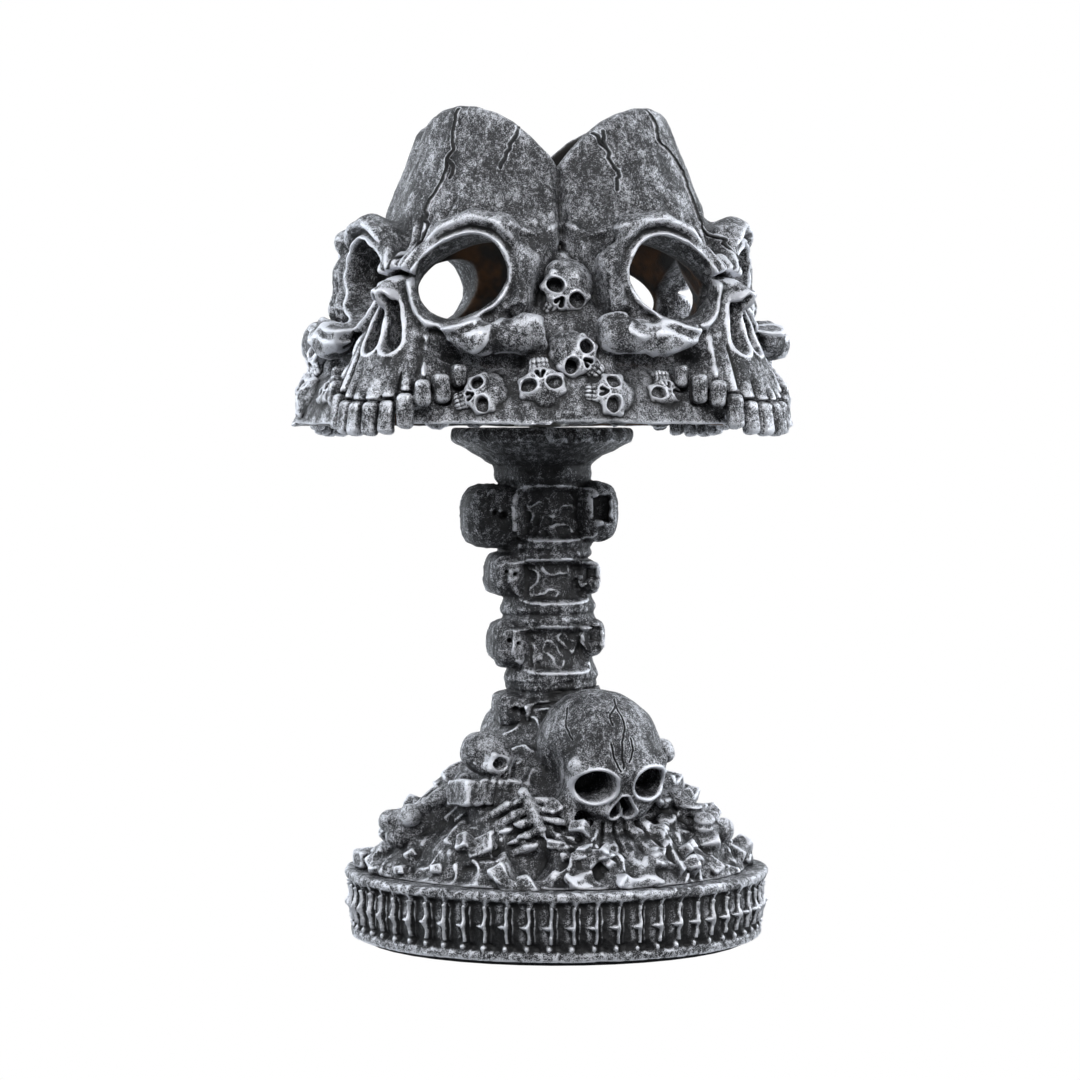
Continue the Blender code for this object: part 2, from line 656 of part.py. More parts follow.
def build_holder():
    """The lampholder: cap, skirt with a shoulder, clamping ring, insert, two contacts and the screw that locks it."""
    inner = HOLDER_RADIUS - HOLDER_WALL
    cap = turned(
        "holder_cap",
        [
            (HOLDER_RADIUS, CAP_TOP),
            (HOLDER_RADIUS, CAP_FOOT + 2 * MM),
            (HOLDER_RADIUS - 2 * MM, CAP_FOOT),
            (TUBE_RADIUS + FIT, CAP_FOOT),
            (TUBE_RADIUS + FIT, CAP_STEP),
            (inner, CAP_STEP),
            (inner, CAP_TOP),
        ],
        BLACK_PLASTIC,
        steps=24,
    )
    lock_height = (CAP_FOOT + CAP_STEP) / 2
    hole = bmesh.new()
    add_cylinder(hole, (0, -HOLDER_RADIUS, lock_height), (0, 1, 0), LOCK_SCREW_RADIUS + FIT, HOLDER_RADIUS * 1.6, 12)
    cut(cap, object_from("holder_cap_lock_hole", hole))
    lock = bmesh.new()
    lock_length = HOLDER_RADIUS - TUBE_RADIUS - 2 * FIT - 1.5 * MM
    lock_centre = -(TUBE_RADIUS + FIT + lock_length / 2)
    add_cylinder(lock, (0, lock_centre, lock_height), (0, 1, 0), LOCK_SCREW_RADIUS, lock_length, 12)
    object_from("locking_screw", lock, ZINC)

    turned(
        "holder_skirt",
        [
            (HOLDER_RADIUS, SKIRT_TOP),
            (HOLDER_RADIUS, SHOULDER_TOP),
            (HOLDER_SHOULDER_RADIUS, SHOULDER_TOP),
            (HOLDER_SHOULDER_RADIUS, SKIRT_FOOT),
            (inner, SKIRT_FOOT),
            (inner, SKIRT_TOP),
        ],
        BLACK_PLASTIC,
        steps=24,
    )
    ring_foot = SHOULDER_TOP + 2 * FIT + CROSS_THICKNESS
    ring = ring_profile(HOLDER_RADIUS + FIT, CLAMP_RING_RADIUS, ring_foot, ring_foot + CLAMP_RING_HEIGHT)
    turned("holder_ring", ring, BLACK_PLASTIC, steps=24)

    bore = LAMP_CAP_RADIUS + FIT
    insert = turned(
        "holder_insert",
        [
            (INSERT_RADIUS, INSERT_TOP),
            (INSERT_RADIUS, CAP_TOP),
            (inner - FIT, CAP_TOP - 1 * MM),
            (inner - FIT, INSERT_FOOT),
            (0, INSERT_FOOT),
            (0, INSERT_FLOOR),
            (bore, INSERT_FLOOR),
            (bore, INSERT_TOP),
        ],
        CERAMIC,
        steps=20,
    )
    slot = bmesh.new()
    slot_height = LAMP_CAP_LENGTH * 0.55
    slot_centre = INSERT_FLOOR + slot_height / 2
    add_box(slot, (bore, 0, slot_centre + 0.5 * MM), (2 * CONTACT_THICKNESS + 2 * FIT, 5 * MM, slot_height))
    cut(insert, object_from("holder_insert_slot", slot))
    side = bmesh.new()
    side_centre = bore + CONTACT_THICKNESS / 2
    add_box(side, (side_centre, 0, slot_centre + 0.5 * MM), (CONTACT_THICKNESS, 4.2 * MM, slot_height - 1 * MM))
    object_from("side_contact", side, BRASS)
    centre = bmesh.new()
    add_box(centre, (0, 0, INSERT_FLOOR + FIT + CONTACT_THICKNESS / 2), (8 * MM, 4 * MM, CONTACT_THICKNESS))
    object_from("centre_contact", centre, BRASS)

    glass_foot = LAMP_FOOT + LAMP_CAP_LENGTH
    top = glass_foot + LAMP_GLASS_LENGTH
    radius = LAMP_GLASS_RADIUS
    turned(
        "bulb",
        [
            (0, top),
            (radius * 0.45, top - 1.2 * MM),
            (radius * 0.8, top - 5 * MM),
            (radius, top - 12 * MM),
            (radius, top - 18 * MM),
            (radius * 0.9, glass_foot + 12 * MM),
            (radius * 0.62, glass_foot + 3 * MM),
            (LAMP_CAP_RADIUS, glass_foot),
            (LAMP_CAP_RADIUS, LAMP_FOOT + 2.5 * MM),
            (2.6 * MM, LAMP_FOOT + 1.2 * MM),
            (2.2 * MM, LAMP_FOOT),
            (0, LAMP_FOOT),
        ],
        GLASS,
        steps=20,
    )


def build_cross():
    """The flat steel cross between the lampholder shoulder and the four bosses of the shade, with its screws."""
    plate = bmesh.new()
    middle = CROSS_SEAT + FIT + CROSS_THICKNESS / 2
    add_cylinder(plate, (0, 0, middle), (0, 0, 1), CROSS_HUB_RADIUS, CROSS_THICKNESS, 24)
    cross = object_from("shade_cross", plate, ZINC)
    arms = bmesh.new()
    add_box(arms, (0, 0, middle), (2 * CROSS_REACH, CROSS_ARM_WIDTH, CROSS_THICKNESS))
    other = bmesh.new()
    add_box(other, (0, 0, middle), (CROSS_ARM_WIDTH, 2 * CROSS_REACH, CROSS_THICKNESS))
    join(cross, object_from("cross_arm_pair_1", arms))
    join(cross, object_from("cross_arm_pair_2", other))
    holes = bmesh.new()
    add_cylinder(holes, (0, 0, middle), (0, 0, 1), HOLDER_RADIUS + FIT, 4 * CROSS_THICKNESS, 24)
    for i, angle in enumerate(JOIN_ANGLES):
        point = Matrix.Rotation(angle, 4, "Z") @ Vector((CROSS_SCREW_CIRCLE, 0, middle))
        add_cylinder(holes, point, (0, 0, 1), SCREW_RADIUS + FIT, 4 * CROSS_THICKNESS, 10)
        point.z += CROSS_THICKNESS / 2 + FIT
        add_screw(
            f"cross_screw_{i + 1}",
            point,
            SCREW_RADIUS,
            CROSS_SCREW_LENGTH,
            SCREW_HEAD_RADIUS,
            SCREW_HEAD_HEIGHT,
            ZINC,
        )
    cut(cross, object_from("cross_holes", holes))


# Column rings and vertebrae, from the neck of the collar down: height of the middle, sideways lean of the middle.
COLUMN_RINGS = [(186, 0.3, 19.5, 3.0), (155.5, 1.2, 19.0, 2.6), (130, 2.6, 18.7, 3.0), (100.5, 4.0, 18.6, 2.7)]
# Middle height, lean, half height, left lobe half width and half height, right lobe half width and half height.
VERTEBRAE = [
    (169.5, 0.8, 12.5, 11.0, 12.0, 10.0, 11.0),
    (142.5, 2.0, 10.5, 6.5, 10.0, 5.0, 9.0),
    (115.0, 3.4, 12.0, 6.5, 9.5, 4.5, 8.0),
    (87.5, 4.8, 11.0, 6.5, 8.5, 5.0, 8.0),
]


def add_column(solids, hollows):
    """The spine: rings with a waisted body between each pair, a front panel and a lobe at each side."""
    for height, lean, radius, half in COLUMN_RINGS:
        add_cylinder(solids, scaled(lean, 0, height), (0, 0, 1), (radius - 1.2) * MM, 2 * half * MM, 28)
        add_cylinder(solids, scaled(lean, 0, height), (0, 0, 1), radius * MM, 1.1 * half * MM, 28)
    for height, lean, half, left, left_high, right, right_high in VERTEBRAE:
        waist = VERTEBRA_RADIUS
        low, high = scaled(lean + 0.6, 0, height - half / 2), scaled(lean - 0.6, 0, height + half / 2)
        length = (half + 3) * MM
        add_cylinder(solids, low, (0, 0, 1), waist + 1.5 * MM, length, 28, waist - 1.5 * MM)
        add_cylinder(solids, high, (0, 0, 1), waist - 1.5 * MM, length, 28, waist + 1.5 * MM)
        for side, wide, tall in ((-1, left, left_high), (1, right, right_high)):
            reach = lean + side * (VERTEBRA_RADIUS / MM - 1 + wide * 0.45)
            add_ball(solids, scaled(reach, -3, height - 1), scaled(wide, 9, tall))
            add_ball(hollows, scaled(reach + side * wide * 0.2, -12.5, height), scaled(2.8, 4, 3.2))
            border = lean + side * 8.5
            add_bone(
                solids,
                scaled(border, -14.5, height - half + 2),
                scaled(border, -14.5, height + half - 2),
                3.2 * MM,
                3.2 * MM,
            )
            add_ball(solids, scaled(lean + side * 9, 13, height), scaled(5, 5, half - 2))
        add_ball(solids, scaled(lean, 17, height), scaled(4, 6, half - 3))


def mound_radius(height):
    """Radius in millimetres of the bone heap about the drum's middle at a height in millimetres above the table."""
    foot = (DRUM_RADIUS - LEDGE_WIDTH) / MM
    share = max(height * MM - HEAP_FOOT, 0) / (HEAP_TOP - HEAP_FOOT)
    return foot * (1 - 0.95 * share + 0.17 * share**2)


def add_rubble(solids):
    """Rocks and bone ends strewn over the heap. The front carries more of them than the back."""
    dice = random.Random(7)
    for i in range(ROCK_COUNT):
        angle = 2.399963 * i
        height = 27 + 40 * (i / ROCK_COUNT) ** 1.2
        reach = mound_radius(height) - 5.0
        size = dice.uniform(6.0, 9.5) * (1.0 - 0.35 * i / ROCK_COUNT)
        centre = scaled(DRUM_OFFSET / MM + reach * math.cos(angle), reach * math.sin(angle), height)
        halves = scaled(size, size * dice.uniform(0.65, 0.95), size * dice.uniform(0.6, 0.9))
        turn = [dice.uniform(0, math.pi) for _ in range(3)]
        shape = Euler(turn).to_matrix().to_4x4() @ Matrix.Diagonal((*halves, 1))
        rock = bmesh.new()
        bmesh.ops.create_icosphere(rock, subdivisions=2, radius=1, matrix=Matrix.Translation(centre) @ shape)
        absorb(solids, rock)


def add_bones(solids, hollows):
    """The two skulls, the rib cage, the stump and the long bones at the front of the heap."""
    big = set_down(scaled(19, -32, 74.5), (0, math.radians(-8), 0))
    big = big @ Matrix.Rotation(math.radians(15), 4, "Z") @ Matrix.Rotation(math.radians(18), 4, "X")
    add_skull(solids, hollows, 48 * MM, big)
    rear = set_down(scaled(-2, 34, 74), (0, 0, 0))
    rear = rear @ Matrix.Rotation(math.radians(195), 4, "Z") @ Matrix.Rotation(math.radians(10), 4, "X")
    add_skull(solids, hollows, 40 * MM, rear)
    small = set_down(scaled(-25, -33, 75.5), (0, math.radians(10), 0))
    small = small @ Matrix.Rotation(math.radians(52), 4, "Z") @ Matrix.Rotation(math.radians(8), 4, "X")
    add_skull(solids, hollows, 20 * MM, small)

    def bone(start, end, r_start, r_end):
        add_bone(solids, scaled(*start), scaled(*end), r_start * MM, r_end * MM)

    bone((-13.7, -50, 62), (-5, -60, 43), 3.0, 2.4)
    for i in range(5):
        drop = 3.8 * i
        start = (-13 + 1.7 * i, -51.5 - 1.7 * i, 60 - drop)
        bone(start, (-22 + 1.2 * i, -50 - 1.5 * i, 57 - drop), 1.8, 1.8)
        bone((-22 + 1.2 * i, -50 - 1.5 * i, 57 - drop), (-28 + 1.2 * i, -42 - 1.5 * i, 51 - drop), 1.8, 1.6)
        if i < 3:
            bone(start, (-3 + 2 * i, -52 - 2 * i, 56 - drop), 1.8, 1.8)
            bone((-3 + 2 * i, -52 - 2 * i, 56 - drop), (4 + i, -46 - 2 * i, 50 - drop), 1.8, 1.6)
    bone((-24, -38, 64), (-24, -42, 50), 10, 10)
    bone((-37, -33, 64), (-59, -38, 49), 4.2, 4.2)
    bone((-59, -38, 49), (-63, -36, 46.5), 4.8, 5.6)
    bone((-59, -38, 49), (-58, -43, 47), 4.8, 5.2)
    bone((57, -22, 60), (65, -34, 46), 4.6, 4.4)
    bone((65, -34, 46), (65.5, -39, 44), 4.6, 5.2)
    bone((65, -34, 46), (71, -33, 42.5), 4.6, 5.6)
    bone((45, -20, 73), (40, -8, 68), 5, 4.5)


def build_stand():
    """The cast stand: the drum with its frieze, the heap of bones, the spine and the flared collar in one piece."""
    solids = bmesh.new()
    hollows = bmesh.new()
    heap = turned(
        "heap_core",
        [(0, HEAP_TOP)]
        + [((mound_radius(z) - 3) * MM, z * MM) for z in (100, 90, 80, 70, 60, 50, 40, 32)]
        + [(DRUM_RADIUS - LEDGE_WIDTH - 3 * MM, DRUM_HEIGHT - 6 * MM), (0, DRUM_HEIGHT - 6 * MM)],
        at=(DRUM_OFFSET, 0, 0),
        steps=40,
    )
    collar = turned(
        "collar",
        [
            (0, COLLAR_TOP + 3 * MM),
            (COLLAR_RADIUS, COLLAR_TOP + 3 * MM),
            (COLLAR_RADIUS, COLLAR_TOP - COLLAR_LIP),
            (COLLAR_RADIUS - 5 * MM, COLLAR_TOP - COLLAR_LIP - 2 * MM),
            (COLLAR_NECK_RADIUS, COLLAR_NECK),
            (0, COLLAR_NECK),
        ],
        steps=40,
    )
    merge_into(solids, heap)
    merge_into(solids, collar)
    add_column(solids, hollows)
    add_rubble(solids)
    add_bones(solids, hollows)
    sculpt = object_from("heap_and_spine", solids)
    melt(sculpt, STAND_VOXEL, 1)
    pits = object_from("heap_hollows", hollows)
    melt(pits, STAND_VOXEL)
    modify(pits, "DECIMATE", ratio=CUTTER_KEEP)
    modify(sculpt, "DECIMATE", ratio=CAST_KEEP)
    cut(sculpt, pits)
    melt(sculpt, STAND_VOXEL)
    modify(sculpt, "DECIMATE", ratio=STAND_KEEP)

    drum = turned(
        "drum",
        [
            (0, DRUM_HEIGHT - 1 * MM),
            (DRUM_RADIUS - LEDGE_WIDTH, DRUM_HEIGHT - 1 * MM),
            (DRUM_RADIUS - 1 * MM, DRUM_HEIGHT),
            (DRUM_RADIUS + RIM_OVERHANG, DRUM_HEIGHT - RIM_HEIGHT / 2),
            (DRUM_RADIUS + 0.4 * MM, DRUM_HEIGHT - RIM_HEIGHT),
            (DRUM_RADIUS - DRUM_BELLY, DRUM_HEIGHT / 2),
            (DRUM_FOOT_RADIUS - 1.6 * MM, DRUM_FOOT_HEIGHT + 0.5 * MM),
            (DRUM_FOOT_RADIUS, DRUM_FOOT_HEIGHT - 0.8 * MM),
            (DRUM_FOOT_RADIUS, FELT_THICKNESS + FIT),
            (0, FELT_THICKNESS + FIT),
        ],
        at=(DRUM_OFFSET, 0, 0),
        steps=FRIEZE_COUNT,
    )
    ridge_foot = DRUM_FOOT_HEIGHT - 0.7 * MM
    ridge_top = DRUM_HEIGHT - RIM_HEIGHT + 0.9 * MM
    half = (ridge_top - ridge_foot) / 2
    ridge = turned(
        "frieze_vertebra",
        [
            (0, half),
            (FRIEZE_KNOB, half),
            (FRIEZE_RIDGE_WIDTH, 0.5 * MM),
            (FRIEZE_KNOB, -half),
            (0, -half),
        ],
        steps=4,
    )
    slope = (DRUM_RADIUS - DRUM_FOOT_RADIUS + 1.6 * MM) / (2 * half)
    row = bmesh.new()
    for i in range(FRIEZE_COUNT):
        angle = 2 * math.pi * (i + 0.31) / FRIEZE_COUNT
        if abs(math.remainder(angle - math.pi / 2, 2 * math.pi)) * DRUM_RADIUS < CORD_PAD_WIDTH / 2:
            continue
        middle = (DRUM_RADIUS + DRUM_FOOT_RADIUS - 1.6 * MM) / 2
        place = (
            Matrix.Translation((DRUM_OFFSET, 0, ridge_foot + half))
            @ Matrix.Rotation(angle, 4, "Z")
            @ Matrix.Translation((middle, 0, 0))
            @ Matrix.Rotation(math.atan(slope), 4, "Y")
        )
        merge_into(row, ridge, place)
    frieze = object_from("frieze", row)
    join(drum, frieze)

    stand = add_object("stand_casting", solid_copy(sculpt), RESIN)
    join(stand, drum)

    pad = bmesh.new()
    pad_reach = 30 * MM
    add_box(
        pad,
        (DRUM_OFFSET, CORD_PAD_FACE + pad_reach / 2, CORD_HOLE_HEIGHT),
        (CORD_PAD_WIDTH, pad_reach, 2 * (DRUM_HEIGHT - RIM_HEIGHT - 1 * MM - CORD_HOLE_HEIGHT)),
    )
    cut(stand, object_from("cord_pad", pad))
    cavity = turned(
        "stand_cavity",
        [
            (0, CAVITY_CEILING),
            (CAVITY_TOP_RADIUS, CAVITY_CEILING),
            (CAVITY_RADIUS - 14 * MM, 32 * MM),
            (CAVITY_RADIUS, 20 * MM),
            (CAVITY_RADIUS, BOARD_TOP + FIT),
            (BOARD_RADIUS + FIT, BOARD_TOP + FIT),
            (BOARD_RADIUS + FIT, -5 * MM),
            (0, -5 * MM),
        ],
        at=(DRUM_OFFSET, 0, 0),
        steps=48,
    )
    cavity.rotation_euler.z = math.radians(2.2)
    cut(stand, cavity)
    face = bmesh.new()
    add_box(face, (0, 0, COLLAR_TOP + 10 * MM), (3 * COLLAR_RADIUS, 3 * COLLAR_RADIUS, 20 * MM))
    cut(stand, object_from("collar_face", face))
    bores = bmesh.new()
    tube_middle = (CAVITY_CEILING + COLLAR_TOP) / 2
    add_cylinder(bores, (0, 0, tube_middle), (0, 0, 1), TUBE_RADIUS + FIT, COLLAR_TOP - CAVITY_CEILING + 30 * MM, 24)
    add_cylinder(bores, (DRUM_OFFSET, CORD_PAD_FACE, CORD_HOLE_HEIGHT), (0, 1, 0), CORD_HOLE_RADIUS, 60 * MM, 20)
    for angle in BOARD_SCREW_ANGLES:
        point = board_screw_point(angle, BOARD_TOP)
        add_cylinder(bores, point, (0, 0, 1), SCREW_RADIUS + FIT, 2 * (BOARD_SCREW_LENGTH - 2 * MM), 12)
    cut(stand, object_from("stand_bores", bores))
    return stand


def board_screw_point(angle, height):
    reach = BOARD_SCREW_CIRCLE
    return Vector((DRUM_OFFSET + reach * math.cos(angle), reach * math.sin(angle), height))


def build_underside():
    """The hardboard disc with its screws, the felt under it, and the grommet and clamp of the cord."""
    turned("base_felt", rod_profile(FELT_RADIUS, 0, FELT_THICKNESS), FELT, (DRUM_OFFSET, 0, 0), 40)
    board_foot = FELT_THICKNESS + FIT
    board = turned("base_board", rod_profile(BOARD_RADIUS, board_foot, BOARD_TOP), BOARD, (DRUM_OFFSET, 0, 0), 40)
    holes = bmesh.new()
    for i, angle in enumerate(BOARD_SCREW_ANGLES):
        point = board_screw_point(angle, board_foot)
        add_cylinder(holes, point, (0, 0, 1), SCREW_RADIUS + FIT, 3 * BOARD_THICKNESS, 12)
        sink = point + Vector((0, 0, SINK_TOP / 2 - 0.5 * MM))
        wide = SCREW_HEAD_RADIUS + FIT + 1.3 * MM
        add_cylinder(holes, sink, (0, 0, 1), wide, SINK_TOP + 1 * MM, 12, SCREW_RADIUS + FIT + 0.1 * MM)
        turned(
            f"board_screw_{i + 1}",
            [
                (0, BOARD_SCREW_LENGTH),
                (SCREW_RADIUS * 0.5, BOARD_SCREW_LENGTH),
                (SCREW_RADIUS, BOARD_SCREW_LENGTH - 1.5 * MM),
                (SCREW_RADIUS, 2 * MM),
                (SCREW_HEAD_RADIUS, 0.2 * MM),
                (SCREW_HEAD_RADIUS, 0),
                (0, 0),
            ],
            ZINC,
            point + Vector((0, 0, 0.1 * MM)),
            10,
        )
    clamp_foot = BOARD_TOP + FIT
    clamp_middle = (DRUM_OFFSET, CLAMP_REACH, clamp_foot + CLAMP_HEIGHT / 2)
    clamp = bmesh.new()
    add_box(clamp, clamp_middle, (CLAMP_WIDTH, CLAMP_DEPTH, CLAMP_HEIGHT))
    clamp = object_from("cord_clamp", clamp, BLACK_PLASTIC)
    clamp_cuts = bmesh.new()
    add_cylinder(clamp_cuts, (DRUM_OFFSET, CLAMP_REACH, clamp_foot), (0, 1, 0), CORD_BORE_RADIUS, 3 * CLAMP_DEPTH, 16)
    for i, side in enumerate((-1, 1)):
        across = DRUM_OFFSET + side * CLAMP_SCREW_SPREAD
        add_cylinder(clamp_cuts, (across, CLAMP_REACH, clamp_foot), (0, 0, 1), CLAMP_SCREW_RADIUS + FIT, 40 * MM, 12)
        add_cylinder(holes, (across, CLAMP_REACH, BOARD_TOP), (0, 0, 1), CLAMP_SCREW_RADIUS + FIT, 4 * MM, 12)
        add_screw(
            f"clamp_screw_{i + 1}",
            (across, CLAMP_REACH, clamp_foot + CLAMP_HEIGHT + FIT),
            CLAMP_SCREW_RADIUS,
            CLAMP_HEIGHT + 2 * MM,
            2 * CLAMP_SCREW_RADIUS,
            1.6 * MM,
            ZINC,
        )
    cut(clamp, object_from("clamp_cuts", clamp_cuts))
    cut(board, object_from("board_holes", holes))
    board.modifiers[-1].use_self = True

    barrel = CORD_HOLE_RADIUS - FIT
    length = CORD_PAD_FACE - CAVITY_RADIUS + 2 * MM
    grommet = turned(
        "cord_grommet",
        [
            (GROMMET_FLANGE - 0.8 * MM, FIT + GROMMET_FLANGE_THICKNESS),
            (GROMMET_FLANGE, FIT + GROMMET_FLANGE_THICKNESS * 0.5),
            (GROMMET_FLANGE, FIT),
            (barrel, FIT),
            (barrel, -length),
            (CORD_BORE_RADIUS, -length),
            (CORD_BORE_RADIUS, FIT + GROMMET_FLANGE_THICKNESS),
        ],
        RUBBER,
        (DRUM_OFFSET, CORD_PAD_FACE, CORD_HOLE_HEIGHT),
        24,
    )
    grommet.rotation_euler = (-math.pi / 2, 0, 0)


build_shade()
build_tube_set()
build_holder()
build_cross()
build_stand()
build_underside()
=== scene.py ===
"""Gothic skull lamp, dressed for one photograph: aged silver resin casts round plain steel, plastic and glass fittings.

Lengths in the modelling sections are millimetres in the row frame: +Z up, -Y the front, origin under the tube's axis.
"""

import math

import bmesh
import bpy
import numpy as np
from mathutils import Matrix, Vector
from mathutils.bvhtree import BVHTree


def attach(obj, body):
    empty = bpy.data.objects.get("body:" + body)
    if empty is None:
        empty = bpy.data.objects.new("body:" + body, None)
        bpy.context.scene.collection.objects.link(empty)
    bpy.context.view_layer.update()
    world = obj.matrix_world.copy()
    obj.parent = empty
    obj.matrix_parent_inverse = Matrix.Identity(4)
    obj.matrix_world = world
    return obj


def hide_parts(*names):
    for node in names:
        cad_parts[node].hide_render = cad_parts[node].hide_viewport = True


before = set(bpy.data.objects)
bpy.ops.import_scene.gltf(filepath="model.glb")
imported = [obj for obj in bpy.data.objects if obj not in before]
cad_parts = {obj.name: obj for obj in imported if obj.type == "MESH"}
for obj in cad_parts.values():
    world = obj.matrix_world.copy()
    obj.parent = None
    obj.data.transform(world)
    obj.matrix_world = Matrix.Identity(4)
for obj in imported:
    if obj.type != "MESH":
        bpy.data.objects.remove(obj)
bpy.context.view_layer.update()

# Shade. A hollow resin cast of four skull faces that grow into one another round a flared ring, open above and below.
# It is modelled as clay: every lump, groove and hole changes the distance to the skin on a grid, and the skin is then
# meshed. The grid is one quarter turn of the ring in angle, radius and height, and the finished quarter is repeated.

MM = 0.001


class Clay:
    """A block of clay on a grid. skin is the distance from each grid point to the surface, below zero inside."""

    def __init__(self, low, high, cell, slices=0):
        """With slices, the axes are angle, radius and height, and the block is one of that many slices of a ring."""
        self.slices = slices
        self.turned = math.pi / slices if slices > 1 else 0.0
        self.low = np.array(low, float)
        self.counts = np.maximum(np.ceil((np.array(high) - self.low) / cell).astype(int), 1)
        if slices:
            self.counts[0] = 12 * math.ceil(self.counts[0] / 12)
        self.step = (np.array(high) - self.low) / self.counts
        if not slices:
            self.counts = self.counts + 1
        first, second, third = (
            (self.low[i] + self.step[i] * np.arange(self.counts[i])).astype(np.float32) for i in range(3)
        )
        z = third[None, None, :]
        if slices:
            around, radius = first[:, None, None], second[None, :, None]
            self.points = (radius * np.cos(around), radius * np.sin(around), z)
            self.angle = around
        else:
            self.points = (first[:, None, None], second[None, :, None], z)
        self.skin = np.full(tuple(self.counts), 40.0, np.float32)

    def window(self, centre, reach):
        """The part of the grid within reach of a point, as three slices."""
        centre = np.array(centre, float)
        spread = np.full(3, float(reach))
        if self.slices:
            radius = math.hypot(centre[0], centre[1])
            angle = math.atan2(centre[1], centre[0])
            spread[0] = math.asin(reach / radius) if reach < radius else math.pi
            centre = np.array((angle, radius, centre[2]))
        start = np.floor((centre - spread - self.low) / self.step).astype(int)
        stop = np.ceil((centre + spread - self.low) / self.step).astype(int) + 1
        return tuple(slice(max(a, 0), max(min(b, n), 0)) for a, b, n in zip(start, stop, self.counts))

    def at(self, window):
        """The coordinates of the grid points in a window."""
        if window is None:
            return self.points
        cut = []
        for values in self.points:
            cut.append(values[tuple(w if n > 1 else slice(None) for w, n in zip(window, values.shape))])
        return tuple(cut)

    def add(self, distance, window=None, soft=2.0):
        """Presses a lump on, with a fillet about as wide as soft."""
        window = window or (slice(None),) * 3
        skin = self.skin[window]
        blend = np.maximum(soft - np.abs(skin - distance), 0)
        self.skin[window] = np.minimum(skin, distance) - blend * blend / (4 * soft)

    def carve(self, distance, window=None, soft=1.0):
        """Cuts a shape out, and rounds its lip by about soft."""
        window = window or (slice(None),) * 3
        skin = self.skin[window]
        blend = np.maximum(soft - np.abs(skin + distance), 0)
        self.skin[window] = np.maximum(skin, -distance) + blend * blend / (4 * soft)

    def press(self, shape, centre, reach, *sizes, soft, cut=False):
        """Adds a shape, or cuts it out, on the part of the grid within reach of a point."""
        window = self.window(centre, reach)
        change = self.carve if cut else self.add
        change(shape(self.at(window), *sizes), window, soft=soft)

    def swell(self, amount, window=None):
        """Raises the surface, or sinks it where the amount is below zero."""
        window = window or (slice(None),) * 3
        self.skin[window] -= amount

    def mesh(self, name):
        """Surface nets: one vertex in each cell that the skin passes through, and a quad across each crossed edge."""
        skin, slices = self.skin, max(self.slices, 1)
        if self.slices:
            skin = np.concatenate((skin, skin[:1]), axis=0)
        cells = np.array(skin.shape) - 1
        inside = skin < 0
        count = np.zeros(tuple(cells), np.int8)
        corners = [(i, j, k) for i in (0, 1) for j in (0, 1) for k in (0, 1)]
        for i, j, k in corners:
            count += inside[i : i + cells[0], j : j + cells[1], k : k + cells[2]]
        home = np.argwhere((count > 0) & (count < 8))
        number = np.full(tuple(cells), -1, np.int64)
        number[tuple(home.T)] = np.arange(len(home))
        value = {c: skin[tuple((home + c).T)] for c in corners}
        total = np.zeros((len(home), 3))
        crossings = np.zeros(len(home))
        for near in corners:
            for axis in range(3):
                if near[axis]:
                    continue
                far = tuple(1 if a == axis else near[a] for a in range(3))
                a, b = value[near], value[far]
                crossed = (a < 0) != (b < 0)
                share = np.where(crossed, a / np.where(crossed, a - b, 1), 0)
                point = np.repeat(np.array([near], float), len(home), axis=0)
                point[:, axis] += share
                total += point * crossed[:, None]
                crossings += crossed
        spots = self.low + self.step * (home + total / crossings[:, None])
        faces = []
        for axis in range(3):
            one, two = [a for a in range(3) if a != axis]
            near, far = [slice(None)] * 3, [slice(None)] * 3
            near[axis], far[axis] = slice(0, cells[axis]), slice(1, None)
            change = inside[tuple(near)].astype(np.int8) - inside[tuple(far)].astype(np.int8)
            edge = np.argwhere(change != 0)
            keep = np.ones(len(edge), bool)
            for other in (one, two):
                keep &= edge[:, other] < cells[other]
                if other or not self.slices:
                    keep &= edge[:, other] > 0
            edge = edge[keep]
            flip = change[tuple(edge.T)] < 0
            if axis == 1:
                flip = ~flip
            quad = []
            for back_one, back_two in ((1, 1), (0, 1), (0, 0), (1, 0)):
                cell = edge.copy()
                cell[:, one] -= back_one
                cell[:, two] -= back_two
                wrap = np.where(cell[:, 0] < 0, -1, 0)
                cell[:, 0] %= cells[0]
                quad.append(number[tuple(cell.T)] + wrap * len(home))
            quad = np.stack(quad, axis=1)
            quad[flip] = quad[flip][:, ::-1]
            faces.append(quad)
        faces = np.concatenate(faces)
        vertices, polygons = [], []
        for turn in range(slices):
            place = spots.copy()
            if self.slices:
                angle = spots[:, 0] + self.turned + turn * 2 * math.pi / slices
                place[:, 0], place[:, 1] = spots[:, 1] * np.cos(angle), spots[:, 1] * np.sin(angle)
            vertices.append(place * MM)
            polygons.append((faces + turn * len(home)) % (slices * len(home)))
        return mesh_from(name, np.concatenate(vertices), np.concatenate(polygons))

    def read(self, field, points):
        """A field of the grid, read at points in metres."""
        spots = np.array(points) / MM
        if self.slices:
            angle = np.arctan2(spots[:, 1], spots[:, 0]) - self.turned - self.low[0]
            angle = np.mod(angle, 2 * math.pi / self.slices) + self.low[0]
            radius = np.hypot(spots[:, 0], spots[:, 1])
            spots = np.stack((angle, radius, spots[:, 2]), axis=1)
            field = np.concatenate((field, field[:1]), axis=0)
        spots = (spots - self.low) / self.step
        base = np.clip(np.floor(spots).astype(int), 0, np.array(field.shape) - 2)
        share = np.clip(spots - base, 0, 1)
        result = np.zeros(len(spots))
        for corner in [(i, j, k) for i in (0, 1) for j in (0, 1) for k in (0, 1)]:
            weight = np.prod([share[:, a] if corner[a] else 1 - share[:, a] for a in range(3)], axis=0)
            result += weight * field[tuple((base + corner).T)]
        return result

